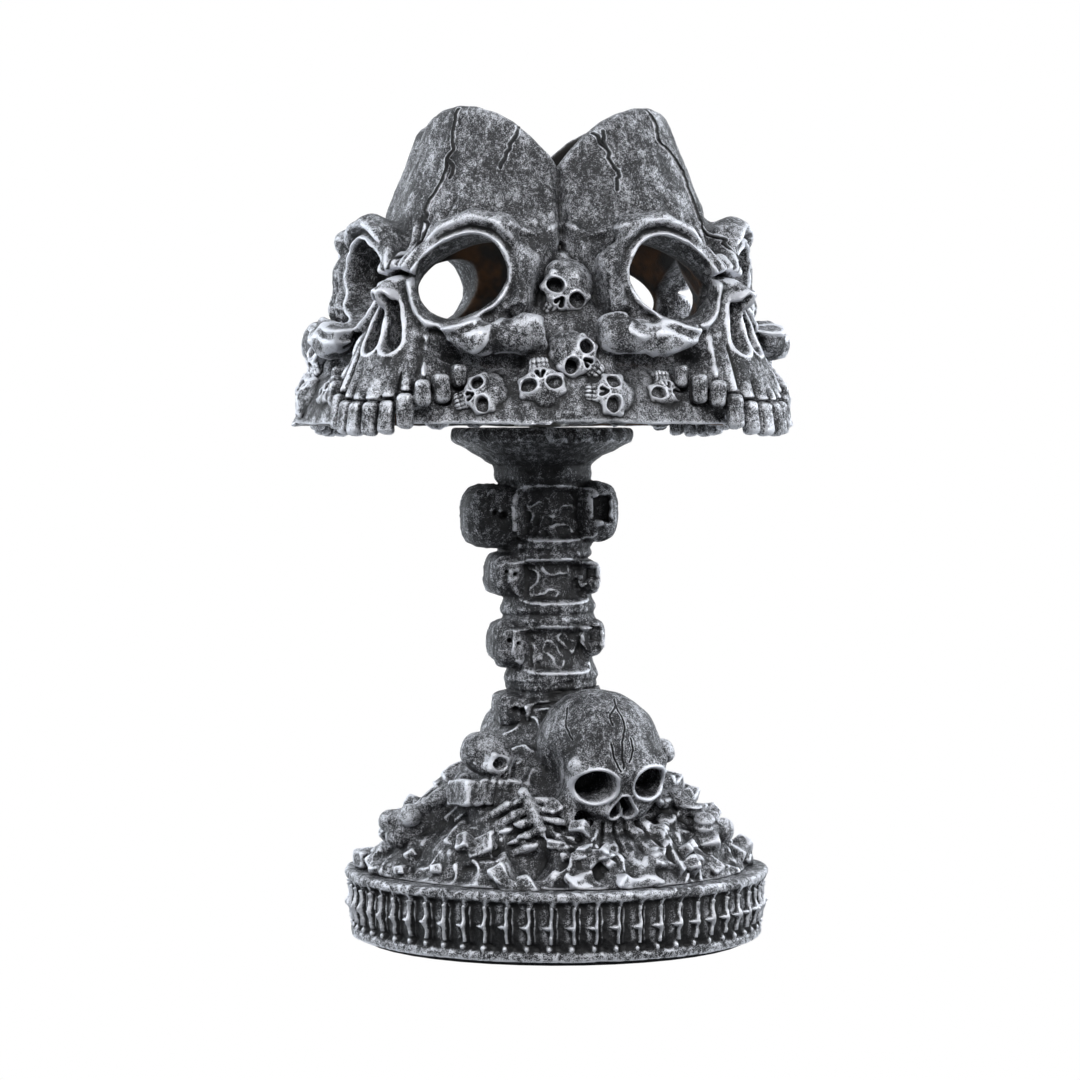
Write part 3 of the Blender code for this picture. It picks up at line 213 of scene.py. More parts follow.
    def blurred(self, passes):
        """The skin after a blur, with distances beyond 8 mm cut off."""
        field = np.clip(self.skin, -8, 8)
        for _ in range(passes):
            for axis in range(3):
                if axis == 0 and self.slices:
                    field = (np.roll(field, 1, 0) + 2 * field + np.roll(field, -1, 0)) / 4
                else:
                    moved = np.moveaxis(field, axis, 0)
                    moved[1:-1] = (moved[:-2] + 2 * moved[1:-1] + moved[2:]) / 4
        return field

    def mark(self, mesh):
        """Writes how far each point stands out, over about a millimetre (crest) and about a centimetre (broad)."""
        points = places(mesh)
        cell = float(self.step[2])
        here = self.read(self.skin, points)
        crest = self.read(self.blurred(max(1, round(2 * (0.7 / cell) ** 2))), points) - here
        stride = 2 if cell > 0.8 else 4
        wide = Clay.__new__(Clay)
        wide.slices, wide.turned, wide.low, wide.step = self.slices, self.turned, self.low, self.step * stride
        wide.skin = self.skin[::stride, ::stride, ::stride]
        broad = wide.read(wide.blurred(5), points) - here
        write(mesh, "crest", crest)
        write(mesh, "broad", broad)


def places(mesh):
    """The points of a mesh as rows."""
    points = np.empty(len(mesh.vertices) * 3)
    mesh.vertices.foreach_get("co", points)
    return points.reshape(-1, 3)


def write(mesh, label, values):
    """Stores one value for each point of a mesh, for its material to read."""
    layer = mesh.attributes.get(label) or mesh.attributes.new(label, "FLOAT", "POINT")
    layer.data.foreach_set("value", np.ascontiguousarray(values, np.float32))


def mesh_from(name, vertices, polygons):
    """A mesh from arrays of points and of four corner numbers a face."""
    mesh = bpy.data.meshes.new(name)
    mesh.vertices.add(len(vertices))
    mesh.vertices.foreach_set("co", np.ascontiguousarray(vertices, np.float32).ravel())
    mesh.loops.add(polygons.size)
    mesh.loops.foreach_set("vertex_index", np.ascontiguousarray(polygons, np.int32).ravel())
    mesh.polygons.add(len(polygons))
    mesh.polygons.foreach_set("loop_start", np.arange(0, polygons.size, polygons.shape[1], dtype=np.int32))
    mesh.update(calc_edges=True)
    mesh.validate()
    return mesh


def local(points, centre, axes=None):
    """Coordinates along three unit axes, given as rows, from a centre."""
    moved = [p - c for p, c in zip(points, centre)]
    if axes is None:
        return moved
    return [sum(float(a) * m for a, m in zip(axis, moved)) for axis in axes]


def ellipsoid(points, centre, halves):
    """Distance to an ellipsoid, nearly."""
    q = local(points, centre)
    inner = np.sqrt(sum((v / h) ** 2 for v, h in zip(q, halves))) + 1e-6
    outer = np.sqrt(sum((v / (h * h)) ** 2 for v, h in zip(q, halves))) + 1e-6
    return inner * (inner - 1) / outer


def bone(points, start, end, radius_start, radius_end):
    """A rod with round ends whose radius changes evenly."""
    start, end = np.array(start, float), np.array(end, float)
    along = end - start
    q = local(points, start)
    share = np.clip(sum(v * a for v, a in zip(q, along)) / float(along @ along), 0, 1)
    gap = np.sqrt(sum((v - share * a) ** 2 for v, a in zip(q, along)))
    return gap - (radius_start + (radius_end - radius_start) * share)


def block(points, centre, halves, rounding, axes=None):
    """Distance to a box with rounded edges."""
    q = [np.abs(v) - (h - rounding) for v, h in zip(local(points, centre, axes), halves)]
    outside = np.sqrt(sum(np.maximum(v, 0) ** 2 for v in q))
    return outside + np.minimum(np.maximum(np.maximum(q[0], q[1]), q[2]), 0) - rounding


def path_gap(points, path):
    """Distance to a line through several points."""
    return np.minimum.reduce([bone(points, start, end, 0.0, 0.0) for start, end in zip(path, path[1:])])


def press_line(clay, start, end, depth, width):
    """Sinks a groove of that depth and half width along a line, or raises a ridge where depth is below zero."""
    low, high = np.minimum(start, end), np.maximum(start, end)
    window = clay.window((low + high) / 2, float(np.linalg.norm(high - low)) / 2 + 3 * width + 2)
    gap = bone(clay.at(window), start, end, 0.0, 0.0)
    clay.swell(-depth * np.exp(-((gap / width) ** 2)), window)


def turn_axes(azimuth, pitch=0.0, roll=0.0):
    """Rows: right, forward and up of what faces azimuth (0 is +X), tilted up by pitch and rolled clockwise."""
    azimuth, pitch, roll = math.radians(azimuth), math.radians(pitch), math.radians(roll)
    level = math.cos(pitch)
    forward = np.array((math.cos(azimuth) * level, math.sin(azimuth) * level, math.sin(pitch)))
    right = np.array((-math.sin(azimuth), math.cos(azimuth), 0.0))
    up = np.cross(forward, right)
    up = up if up[2] > 0 else -up
    rolled = right * math.cos(roll) - up * math.sin(roll)
    upper = right * math.sin(roll) + up * math.cos(roll)
    return np.stack((rolled, forward, upper))


def grain(clay, feature, seed):
    """Smooth random values of about -1 to 1 over a clay's grid, in waves of about that many millimetres."""
    rng = np.random.default_rng(seed)
    spans = clay.counts * clay.step
    if clay.slices:
        spans = spans * np.array((float(clay.low[1] + spans[1] / 2), 1, 1))
    cells = np.maximum(np.round(spans / feature).astype(int), 1)
    field = rng.uniform(-1, 1, tuple(cells + 3)).astype(np.float32)
    if clay.slices:
        field[-3:] = field[:3]
    for axis in range(3):
        place = np.arange(clay.counts[axis]) * (cells[axis] / clay.counts[axis])
        base = np.floor(place).astype(int)
        t = place - base
        weights = np.zeros((len(place), cells[axis] + 3), np.float32)
        spline = ((1 - t) ** 3, 3 * t**3 - 6 * t**2 + 4, -3 * t**3 + 3 * t**2 + 3 * t + 1, t**3)
        for offset, weight in enumerate(spline):
            weights[np.arange(len(place)), base + offset] = weight / 6
        field = np.moveaxis(np.tensordot(weights, field, axes=(1, axis)), 0, axis)
    return field * 2.8


def crags(clay, feature, seed):
    """Random values that rise to sharp crests, from 0 in the hollows to about 1."""
    return 1 - np.minimum(np.abs(grain(clay, feature, seed)) * 2, 1)


QUARTER = math.pi / 4
SHADE_CELL = 0.7
shade = Clay(
    (-QUARTER, 34.0, 197.0),
    (QUARTER, 118.0, 330.0),
    (SHADE_CELL / 92, SHADE_CELL, SHADE_CELL),
    slices=4,
)
x, y, z = shade.points
radius = np.hypot(x, y)

# The outer mass of one face: brain case, middle of the face, jaw and the flared skirt between two faces.
long_half = np.interp(z, (197, 218, 258, 328, 332), (52, 53, 62, 32, 30)).astype(np.float32)
cross_half = long_half * 0.84


def crown(wall):
    """Distance to the brain case of one face, a given wall inside its skin."""
    a, b = long_half - wall, cross_half - wall
    return (np.sqrt(((x - 22) / a) ** 2 + (y / b) ** 2) - 1) * b * 0.9


shade.add(crown(0), soft=1)
skirt = np.interp(z, (200, 205, 212, 228, 242, 266, 290), (100, 99.5, 97, 87.5, 79, 66, 50)).astype(np.float32)
shade.add(np.maximum((radius - skirt) * 0.84, 205 - z), soft=5)
shade.add(ellipsoid((x, y, z), (62, 0, 236), (33, 27, 34)), soft=5)
jaw_half = np.interp(z, (206, 214, 226, 240, 254), (49.5, 48.5, 43, 36, 29)).astype(np.float32)
jaw = (np.sqrt(((x - 60) / jaw_half) ** 2 + (y / (jaw_half * 0.76)) ** 2) - 1) * jaw_half * 0.76
jaw = np.maximum(jaw, np.maximum(208.5 + (y / 33) ** 2 * 7 - z, z - 256))
shade.add(jaw, soft=3)


def flat_gap(path, side):
    """Distance to a line through points of a face, as seen from the tube axis, on the outside of the ring."""
    path = np.array(path, float)
    reach = float(np.hypot(path[:, 0], path[:, 1]).mean())
    flat = np.stack((np.arctan2(path[:, 1] * side, path[:, 0]) * reach, path[:, 2]), axis=1)
    gap = np.full(1, 99.0, np.float32)
    for image in (-1, 0, 1):
        across = (shade.angle + image * 2 * QUARTER) * reach
        for start, end in zip(flat, flat[1:]):
            along = end - start
            share = ((across - start[0]) * along[0] + (z - start[1]) * along[1]) / float(along @ along)
            share = np.clip(share, 0, 1)
            piece = np.hypot(across - start[0] - share * along[0], z - start[1] - share * along[1])
            gap = np.minimum(gap, piece)
    return gap


def draw(path, depth, width):
    """Sinks a groove of that depth and half width in both halves of a face, or raises a ridge for a depth below 0."""
    for side in (-1, 1):
        shade.swell(-depth * np.exp(-((flat_gap(path, side) / width) ** 2)))


def at_corner(outward, sideways, height):
    """A point given by its reach along the corner of two faces, its distance toward this face and its height."""
    return ((outward + sideways) / math.sqrt(2), (outward - sideways) / math.sqrt(2), height)


# Bones round the eyes, and brows that slope down to the root of the nose.
EYE_RIM = (
    (85, 4, 262), (79, 15, 277), (74.5, 25, 281), (70, 34, 279),
    (67, 41, 266), (69, 40, 250), (77, 27, 244), (85, 13, 246),
)
for side in (-1, 1):
    for start, end in zip(EYE_RIM, EYE_RIM[1:] + EYE_RIM[:1]):
        start, end = (start[0], side * start[1], start[2]), (end[0], side * end[1], end[2])
        middle = [(p + q) / 2 for p, q in zip(start, end)]
        shade.press(bone, middle, 20, start, end, 4.8, 4.8, soft=5.0)
for path, depth, width in (
    (((88, 3.0, 262), (84, 7.5, 270.5), (79, 15.7, 279), (76, 25, 283), (71, 34, 281), (69, 40, 275)), -1.5, 2.0),
    (((88, 3.6, 259), (84, 9, 267.5), (79, 16.5, 275.8), (76, 25, 279.4), (72, 33, 277.4), (70, 38.6, 271)), 1.1, 1.1),
    (((84, 9, 274), (79, 17, 283.5), (75, 26, 287.5), (70, 35, 286)), 1.0, 2.4),
    (((89, 0.0, 266), (81, 2.4, 284)), 1.2, 1.2),
    (((88.5, 2.5, 264), (84, 6.5, 277), (78, 12, 290)), 1.0, 1.1),
    (((88, 1.4, 266), (83, 4.4, 280)), -0.9, 1.3),
):
    draw(path, depth, width)
shade.press(bone, (92, 0, 254), 18, (85, 0, 259), (97.5, 0, 254), 5.0, 3.4, soft=4.0)
draw(((90, -9, 260.0), (91, 0, 262.5), (90, 9, 260.0)), 2.6, 1.3)

# Cheekbones: two rough knobs in a row under the outer half of each eye, over a dark hollow.
knobs = 1.5 * crags(shade, 5.5, 67) + 0.7 * grain(shade, 3.4, 68) - 0.5
for side in (-1, 1):
    for start, end, first, last in (
        ((90.5, 28, 239), (85, 35.5, 236.5), 4.6, 8.4),
        ((77.5, 44.5, 238), (72.5, 49, 239), 8.0, 7.6),
    ):
        start, end = (start[0], side * start[1], start[2]), (end[0], side * end[1], end[2])
        window = shade.window(((start[0] + end[0]) / 2, (start[1] + end[1]) / 2, 238), 24)
        lump = bone(shade.at(window), start, end, first, last)
        shade.add(lump, window, soft=1.6)
        shade.swell(knobs[window] * np.clip(1.5 - np.abs(lump), 0, 1), window)
draw(((97, 24, 230.5), (90, 38, 226.5), (80, 50, 227.5)), 4.6, 3.6)
draw(((84, 30, 246), (78, 38, 246), (72, 45, 249)), 1.6, 1.5)

# Grooves down each corner between two faces, folds beside them and hollows behind the eyes.
for path, depth, width in (
    (((46, 0, 307), (54, 0, 291), (63, 0, 272)), 1.5, 1.5),
    (((63, 0, 273), (66, 5.0, 266), (72, 9.5, 258), (75.5, 12, 250)), 2.2, 1.4),
    (((56, 3, 288), (62, 4.5, 278), (68, 9.5, 269), (74, 14, 258), (77, 16, 249)), -1.6, 2.3),
    (((68, 17, 275), (73, 21, 263), (77, 22, 250), (80, 22, 243)), 1.7, 2.3),
    (((58, 1.5, 281), (66, 11, 277), (69, 19, 280)), -1.3, 1.6),
):
    draw([at_corner(*spot) for spot in path], depth, width)

# Broken rock on the skirt between two faces, for the small skulls to sit in.
beside = np.abs(shade.angle) / QUARTER
low_corner = np.clip((beside - 0.62) / 0.2, 0, 1) * np.clip((238 - z) / 6, 0, 1)
shade.swell(low_corner * (1.5 * grain(shade, 9, 61) + 0.7 * grain(shade, 4, 64) + 0.7 * crags(shade, 5, 62)))
face_part = np.clip((0.75 - beside) / 0.2, 0, 1) * np.clip((300 - z) / 20, 0, 1) * np.clip((z - 228) / 6, 0, 1)
shade.swell(0.35 * grain(shade, 7, 63) * face_part)

# Roots of the teeth run up the jaw as ridges. Each tooth sits in a cut a little larger than itself.
ARCH_MIDDLE, ARCH_DEEP, ARCH_WIDE = 60, 51.5, 39.5
TOOTH_PITCH = 7.3
sweep = np.linspace(-1.25, 1.25, 501)
arch = np.stack((ARCH_MIDDLE + ARCH_DEEP * np.cos(sweep), ARCH_WIDE * np.sin(sweep)), axis=1)
travel = np.concatenate(([0], np.cumsum(np.linalg.norm(np.diff(arch, axis=0), axis=1))))
travel -= travel[250]
tooth_rng = np.random.default_rng(11)
LOW_ENDS = (200.6, 201.0, 203.0, 211.5, 212.7, 218.5)
TALL = (12.4, 12.8, 13.2, 10.0, 11.0, 9.0)
WIDE = (6.7, 6.5, 6.4, 6.2, 6.2, 5.4)
for roots in (True, False):
    for i in range(12):
        step = (i - 5.5) * TOOTH_PITCH
        number = int(abs(i - 5.5))
        phase = np.interp(step, travel, sweep)
        low_end, tall, wide = LOW_ENDS[number], TALL[number], WIDE[number] / 2
        outward, sideways = ARCH_MIDDLE + ARCH_DEEP * math.cos(phase), ARCH_WIDE * math.sin(phase)
        facing = math.degrees(math.atan2(math.sin(phase) / ARCH_WIDE, math.cos(phase) / ARCH_DEEP))
        inward = np.array((math.cos(math.radians(facing)), math.sin(math.radians(facing)), 0))
        if roots:
            root = np.array((outward, sideways, low_end + tall + 1.0)) - inward * 3.2
            upper = root + np.array((-11 * math.cos(phase), -sideways * 0.24, 21))
            press_line(shade, root, upper, -2.0, 2.2)
            if i < 11:
                between = np.interp(step + TOOTH_PITCH / 2, travel, sweep)
                root = np.array((60 + 49 * math.cos(between), 37.5 * math.sin(between), low_end + tall - 2.0))
                upper = root + np.array((-11 * math.cos(between), -root[1] * 0.24, 22))
                press_line(shade, root, upper, 1.9, 0.9)
            continue
        axes = turn_axes(facing + tooth_rng.uniform(-6, 6), 8, tooth_rng.uniform(-4, 4))[[1, 0, 2]]
        centre = np.array((outward, sideways, low_end + tall / 2)) - inward * 2.6
        window = shade.window(centre, 15)
        points = shade.at(window)
        pocket = block(points, centre + inward * 1.0, (4.6, wide + 1.0, tall / 2 + 1.3), 2.8, axes)
        shade.carve(pocket, window, soft=0.9)
        shade.add(block(points, centre, (3.3, wide, tall / 2), 2.2, axes), window, soft=0.4)

# Eye sockets and nose go right through the wall, each with a thin raised lip.
SQUARENESS = 2.3  # 2 is a plain oval, more is nearer to a rounded square
EYE_LONG, EYE_SHORT, EYE_TILT = 18.0, 14.2, math.radians(27)
for side in (-1, 1):
    eye_centre = (79.5, side * 22.5, 260.3)
    window = shade.window(eye_centre, 34)
    right, outward, up = local(shade.at(window), eye_centre, turn_axes(31 * side, -4, 0))
    away = right * side
    long_way = away * math.cos(EYE_TILT) + up * math.sin(EYE_TILT)
    short_way = up * math.cos(EYE_TILT) - away * math.sin(EYE_TILT)
    inward = np.clip(-outward - 2, 0, 16)
    flare = 1 + np.clip(outward, 0, 12) * 0.012 + inward * 0.006
    short_way = np.where(short_way > 0, short_way * (1 + inward * 0.05), short_way)
    shares = np.abs(long_way / (EYE_LONG * flare)), np.abs(short_way / (EYE_SHORT * flare))
    socket = ((shares[0] ** SQUARENESS + shares[1] ** SQUARENESS) ** (1 / SQUARENESS) - 1) * 14.5
    front = np.clip((outward + 16) / 6, 0, 1)
    shade.swell(1.5 * np.exp(-(((socket - 0.6) / 1.1) ** 2)) * front, window)
    shade.swell(-1.0 * np.exp(-(((socket - 3.0) / 1.3) ** 2)) * front, window)
    shade.carve(socket, window, soft=0.8)
window = shade.window((96, 0, 243), 24)
points = shade.at(window)
flat = [points[0] * 0 + 96, points[1], points[2]]
drops = []
for side in (-1, 1):
    drops.append(bone(flat, (96, side * 1.9, 253.0), (96, side * 4.2, 242.0), 1.1, 2.9))
    drops.append(bone(flat, (96, side * 4.2, 242.0), (96, side * 4.8, 235.5), 2.9, 3.9))
hole = np.minimum.reduce(drops)
front = np.clip((points[0] - 84) / 4, 0, 1)
shade.swell(1.6 * np.exp(-(((hole - 1.0) / 1.0) ** 2)) * front, window)
shade.carve(np.maximum(hole, 60 - points[0]), window, soft=0.4)
shade.press(bone, (98, 0, 231), 10, (96, 0, 232.5), (101, 0, 229.5), 2.0, 1.3, soft=1.5)

# The inside: four rounded bays behind the faces, a mouth above and a wider mouth below.
WALL = 7.0
well = np.interp(z, (197, 210, 266, 304, 332), (95, 92, 57, 39, 34)).astype(np.float32)
inner_skin = np.minimum(np.maximum(crown(WALL), 225 - z), (radius - well) * 0.85)
inner_skin = np.minimum(inner_skin, ellipsoid((x, y, z), (66, 0, 206), (36, 26, 24)))
shade.carve(inner_skin, soft=1.0)

# The rim rises over each face and dips at the corners.
rim = 328 - 24 * (shade.angle / QUARTER) ** 2
shade.carve((rim - z) * 0.9, soft=2.5)

# Pits and flaws in the skin, so that the silver catches.
noise_rng = np.random.default_rng(5)
flaw = np.zeros(shade.skin.shape, np.float32)
for wave in (0.55, 0.95, 1.6):
    for _ in range(3):
        way = noise_rng.normal(size=3)
        way *= wave / np.linalg.norm(way)
        flaw += np.sin(x * way[0] + np.abs(y) * way[1] + z * way[2] + noise_rng.uniform(0, 6.28)) / wave
shade.swell(0.05 * flaw * np.clip(inner_skin / 2, 0, 1))


def thinned(mesh, limit):
    """A mesh of four-sided faces, cut down to that many triangles, which are kept where the shape bends."""
    triangles = 2 * len(mesh.polygons)
    draft = bpy.data.objects.new("draft", mesh)
    bpy.context.scene.collection.objects.link(draft)
    if triangles > limit:
        thin = draft.modifiers.new("thin", "DECIMATE")
        thin.ratio = limit / triangles
    bpy.context.view_layer.update()
    result = bpy.data.meshes.new_from_object(draft.evaluated_get(bpy.context.evaluated_depsgraph_get()))
    bpy.data.objects.remove(draft)
    return result


def fired(clay, limit, move=(0, 0, 0)):
    """The finished mesh of a clay: thinned, smooth shaded and marked with how far each point stands out."""
    mesh = thinned(clay.mesh("clay"), limit)
    clay.mark(mesh)
    write(mesh, "painted_shade", np.zeros(len(mesh.vertices)))
    mesh.transform(Matrix.Translation(Vector(move) * MM))
    mesh.shade_smooth()
    return mesh


FAR = 9.0


def darken(mesh, amounts):
    """Raises the painted shade mark of each point to an amount from 0 to 1."""
    old = np.empty(len(mesh.vertices), np.float32)
    mesh.attributes["painted_shade"].data.foreach_get("value", old)
    write(mesh, "painted_shade", np.maximum(old, amounts))


def touching(mesh, clay, reach=1.8, move=(0, 0, 0)):
    """Paints shade on the points of a mesh that lie near the skin of another clay, where the two meet."""
    points = places(mesh) - np.array(move) * MM
    low, high = clay.low * MM, (clay.low + clay.counts * clay.step) * MM
    near = (points[:, 2] > low[2]) & (points[:, 2] < high[2])
    if not clay.slices:
        near &= np.all((points > low) & (points < high), axis=1)
    gap = np.full(len(points), FAR)
    gap[near] = clay.read(clay.skin, points[near])
    darken(mesh, np.clip((reach - np.abs(gap)) / (0.7 * reach), 0, 1))


def keep(name, mesh, slot, material, *nodes):
    """Puts a finished piece into the scene, on the lamp's one body, in place of the CAD nodes that it stands for."""
    mesh.name = name
    piece = bpy.data.objects.new(name, mesh)
    bpy.context.scene.collection.objects.link(piece)
    mesh.materials.clear()
    mesh.materials.append(material)
    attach(piece, "root")
    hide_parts(*nodes)


class Wire:
    """A value that runs through a shader's node tree and can be used in sums."""

    def __init__(self, tree, socket=None):
        self.tree, self.socket = tree, socket

    def make(self, kind, settings=None, inputs=None, output=0):
        """Adds a node, with its settings and its inputs given as names and values, and returns one of its outputs."""
        node = self.tree.nodes.new(kind)
        for key, value in (settings or {}).items():
            setattr(node, key, value)
        for key, value in (inputs or {}).items():
            if isinstance(value, Wire):
                self.tree.links.new(value.socket, node.inputs[key])
            else:
                node.inputs[key].default_value = value
        return Wire(self.tree, node.outputs[output])

    def math(self, operation, first, second=0.0):
        return self.make("ShaderNodeMath", {"operation": operation}, {0: first, 1: second})

    def __add__(self, other):
        return self.math("ADD", self, other)

    def __radd__(self, other):
        return self.math("ADD", other, self)

    def __sub__(self, other):
        return self.math("SUBTRACT", self, other)

    def __rsub__(self, other):
        return self.math("SUBTRACT", other, self)

    def __mul__(self, other):
        return self.math("MULTIPLY", self, other)

    def ramp(self, low, high, to_low=0.0, to_high=1.0):
        """A smooth step from one value to another."""
        return self.make(
            "ShaderNodeMapRange",
            {"interpolation_type": "SMOOTHSTEP"},
            {"Value": self, "From Min": low, "From Max": high, "To Min": to_low, "To Max": to_high},
        )

    def tint(self, first, second):
        """The colour between two others that this value picks."""
        return self.make(
            "ShaderNodeMix",
            {"data_type": "RGBA", "clamp_factor": True},
            {0: self, 6: first, 7: second},
            2,
        )

    def noise(self, scale, detail=3.0, rough=0.55, place=None):
        """Even noise from 0 to 1, at that many waves a metre."""
        place = place or self.make("ShaderNodeTexCoord", output="Object")
        inputs = {"Vector": place, "Scale": scale, "Detail": detail, "Roughness": rough}
        return self.make("ShaderNodeTexNoise", None, inputs)

    def attribute(self, name):
        return self.make("ShaderNodeAttribute", {"attribute_name": name}, output="Fac")

    def bump(self, height, depth):
        """The normal of a surface whose height varies by up to that many metres."""
        return self.make("ShaderNodeBump", None, {"Height": height, "Distance": depth, "Strength": 1.0}, "Normal")


def new_material(name):
    """An empty material, its shader node and a wire to build its values with."""
    material = bpy.data.materials.new(name)
    material.use_nodes = True
    tree = material.node_tree
    return material, tree.nodes["Principled BSDF"], Wire(tree)


def feed(shader, wire, **inputs):
    """Sets inputs of a shader node, or links wires to them."""
    for key, value in inputs.items():
        socket = shader.inputs[key.replace("_", " ")]
        if isinstance(value, Wire):
            wire.tree.links.new(value.socket, socket)
        else:
            socket.default_value = value


def aged_silver(name, level=0.0, lift=0.0, brown=False):
    """Black resin with silver dragged over it by a dry brush, so that it catches on edges and misses the hollows, which
    also get painted shade.

    Level is the swell, in millimetres, at which silver is even. Lift adds silver. Brown stains what is marked inner.
    """
    material, shader, wire = new_material(name)
    crest, broad, painted_shade = (wire.attribute(label) for label in ("crest", "broad", "painted_shade"))
    edge = crest.ramp(0.05, 0.38)
    deep = crest.ramp(-0.34, 0.0)
    fine = wire.noise(2300, 2.0, 0.7) - 0.5
    middle = wire.noise(620, 3.0, 0.6) - 0.5
    patch = wire.noise(90, 2.0) - 0.5
    place = wire.make("ShaderNodeTexCoord", output="Object")
    stretched = wire.make("ShaderNodeVectorMath", {"operation": "MULTIPLY"}, {0: place, 1: (1.0, 1.0, 0.16)})
    streak = wire.noise(260, 3.0, 0.6, stretched) - 0.5
    # broad takes silver off wide hollows, partly the brush missing them and partly painted shade.
    amount = fine * 5.2 + middle * 2.8 + patch * 1.8 + streak * 2.6 + edge * 1.9 + (broad - level) * 0.17 + lift
    # clear is low in crevices, which the brush misses, and under the painted shade marks.
    clear = deep * (1.0 - painted_shade)
    silver = amount.ramp(-0.35, 1.25) * clear
    black, resin, metal = (0.0025, 0.0025, 0.003, 1), (0.036, 0.037, 0.042, 1), (0.84, 0.85, 0.90, 1)
    # Where clear is low the dark coat turns near black: painted shade in crevices and joins.
    ground = (clear * (0.45 + middle * 1.2 + patch * 0.8)).tint(black, resin)
    colour = silver.tint(ground, metal)
    if brown:
        rise = wire.make("ShaderNodeSeparateXYZ", None, {0: place}, "Z")
        amber = wire.noise(70, 3.0).ramp(0.40, 0.75) * rise.ramp(0.262, 0.292, 1.0, 0.0)
        stain = amber.tint((0.008, 0.006, 0.005, 1), (0.15, 0.060, 0.012, 1))
        colour = wire.attribute("inner").tint(colour, stain)
        silver = silver * (1.0 - wire.attribute("inner"))
    grit = fine * 0.5 + middle * 0.5 + silver * 0.25
    feed(
        shader,
        wire,
        Base_Color=colour,
        Metallic=silver.ramp(0.0, 1.0, 0.1, 0.75),
        Roughness=silver.ramp(0.0, 1.0, 0.46, 0.36),
        Normal=wire.bump(grit, 0.0006),
    )
    return material


# The inside is brown, and the inner half of each socket's wall gets painted shade.
shade_mesh = fired(shade, 155000)
gap = np.abs(shade.read(inner_skin, places(shade_mesh)))
write(shade_mesh, "inner", np.clip((1.2 - gap) / 0.8, 0, 1))
rise = places(shade_mesh)[:, 2] / MM
sockets = np.clip((rise - 238) / 4, 0, 1) * np.clip((288 - rise) / 6, 0, 1)
write(shade_mesh, "painted_shade", 0.8 * sockets * np.clip((4.4 - gap) / 1.8, 0, 1))


def chisel(mesh, paths, depth, half):
    """Cuts cracks along paths into a mesh, which is made finer there first, with painted shade inside each crack and a
    painted highlight of extra silver on its lips. Sizes are in millimetres.
    """
    body = bmesh.new()
    body.from_mesh(mesh)
    crest, painted_shade = (body.verts.layers.float[label] for label in ("crest", "painted_shade"))

    def gaps():
        points = np.array([vertex.co for vertex in body.verts]) / MM
        gap = np.full(len(points), 99.0)
        for path in paths:
            low, high = np.min(path, axis=0) - 9, np.max(path, axis=0) + 9
            near = np.all((points > low) & (points < high), axis=1)
            gap[near] = np.minimum(gap[near], path_gap(tuple(points[near].T), path))
        return gap

    for longest in (1.1, 0.55, 0.3):
        gap = gaps()
        body.verts.index_update()
        edges = []
        for edge in body.edges:
            first, last = (gap[vertex.index] for vertex in edge.verts)
            if min(first, last) < half * 2 + longest and edge.calc_length() > longest * MM:
                edges.append(edge)
        bmesh.ops.subdivide_edges(body, edges=edges, cuts=1)
        bmesh.ops.triangulate(body, faces=[face for face in body.faces if len(face.verts) > 3])
    body.normal_update()
    gap = gaps()
    for vertex, away in zip(list(body.verts), gap):
        if away < half * 2.2 and math.hypot(vertex.normal.x, vertex.normal.y) > 0.45:
            share = math.exp(-((away / half) ** 2) * 1.6)
            vertex.co -= Vector((vertex.normal.x, vertex.normal.y, 0)) * depth * MM * share
            # A painted highlight of extra silver on the lips, and painted shade down the crack.
            vertex[crest] += 0.30 * math.exp(-(((away - half * 1.35) / (0.45 * half)) ** 2)) - 0.6 * share
            vertex[painted_shade] = max(vertex[painted_shade], min(1.0, 1.5 * share))
    body.to_mesh(mesh)
    body.free()


def on_face(azimuth, path):
    """Points of a face, given by reach, distance to the right and height, as points of the lamp."""
    cos, sin = math.cos(math.radians(azimuth)), math.sin(math.radians(azimuth))
    return [np.array((r * cos - v * sin, r * sin + v * cos, h)) for r, v, h in path]


# Cracks in the two foreheads in front.
CRACKS = {
    -135: (
        (
            (55.4, 1.4, 326.6), (58.5, 1.9, 317.4), (61.1, 4.5, 310.5), (63, 2.6, 306.6), (65.4, 3.4, 301.0),
            (67.3, 2.6, 296.8), (70.7, -0.5, 289), (74.9, 1.5, 279.2), (78.2, -1.3, 271.5), (81.4, -3.1, 263.8),
        ),
        ((44.2, 23.6, 321.1), (47.7, 23.3, 314.3), (50.2, 23.3, 310.3), (53.0, 21.6, 303.0)),
        ((63, 2.6, 306.6), (63.6, 6.4, 303.4), (65.5, 6.2, 299.2)),
    ),
    -45: (
        (
            (54.9, -2.8, 327.5), (57.2, -2, 320.4), (59.1, -3.4, 315.5), (61.4, 0.8, 310.6), (63.7, 7.1, 303.5),
            (66.9, 5.2, 297), (71.2, 6.4, 286.4), (74.3, 8.2, 278.6), (79.3, 6.4, 267.9),
        ),
        ((46.3, -23.3, 319.7), (49.6, -23.7, 310.7), (52.7, -24, 304.7), (55, -23.4, 302), (56.4, -25.9, 294.8)),
        ((42.8, -27.2, 320.0), (46.0, -24.0, 313.5), (49.6, -23.7, 310.7)),
    ),
}


def landed(mesh, paths):
    """Where rays first meet a mesh, in millimetres. Each path is a list of rays: a start in metres and a direction."""
    surface = bmesh.new()
    surface.from_mesh(mesh)
    tree = BVHTree.FromBMesh(surface)
    surface.free()
    found = []
    for path in paths:
        hits = [tree.ray_cast(start, way)[0] for start, way in path]
        found.append([np.array(hit) / MM for hit in hits if hit is not None])
    return found


def from_outside(spot):
    """A ray that comes in level toward the tube axis, through a point in millimetres."""
    out = Vector((spot[0], spot[1], 0)).normalized()
    return Vector((0, 0, spot[2] * MM)) + out * 0.13, -out


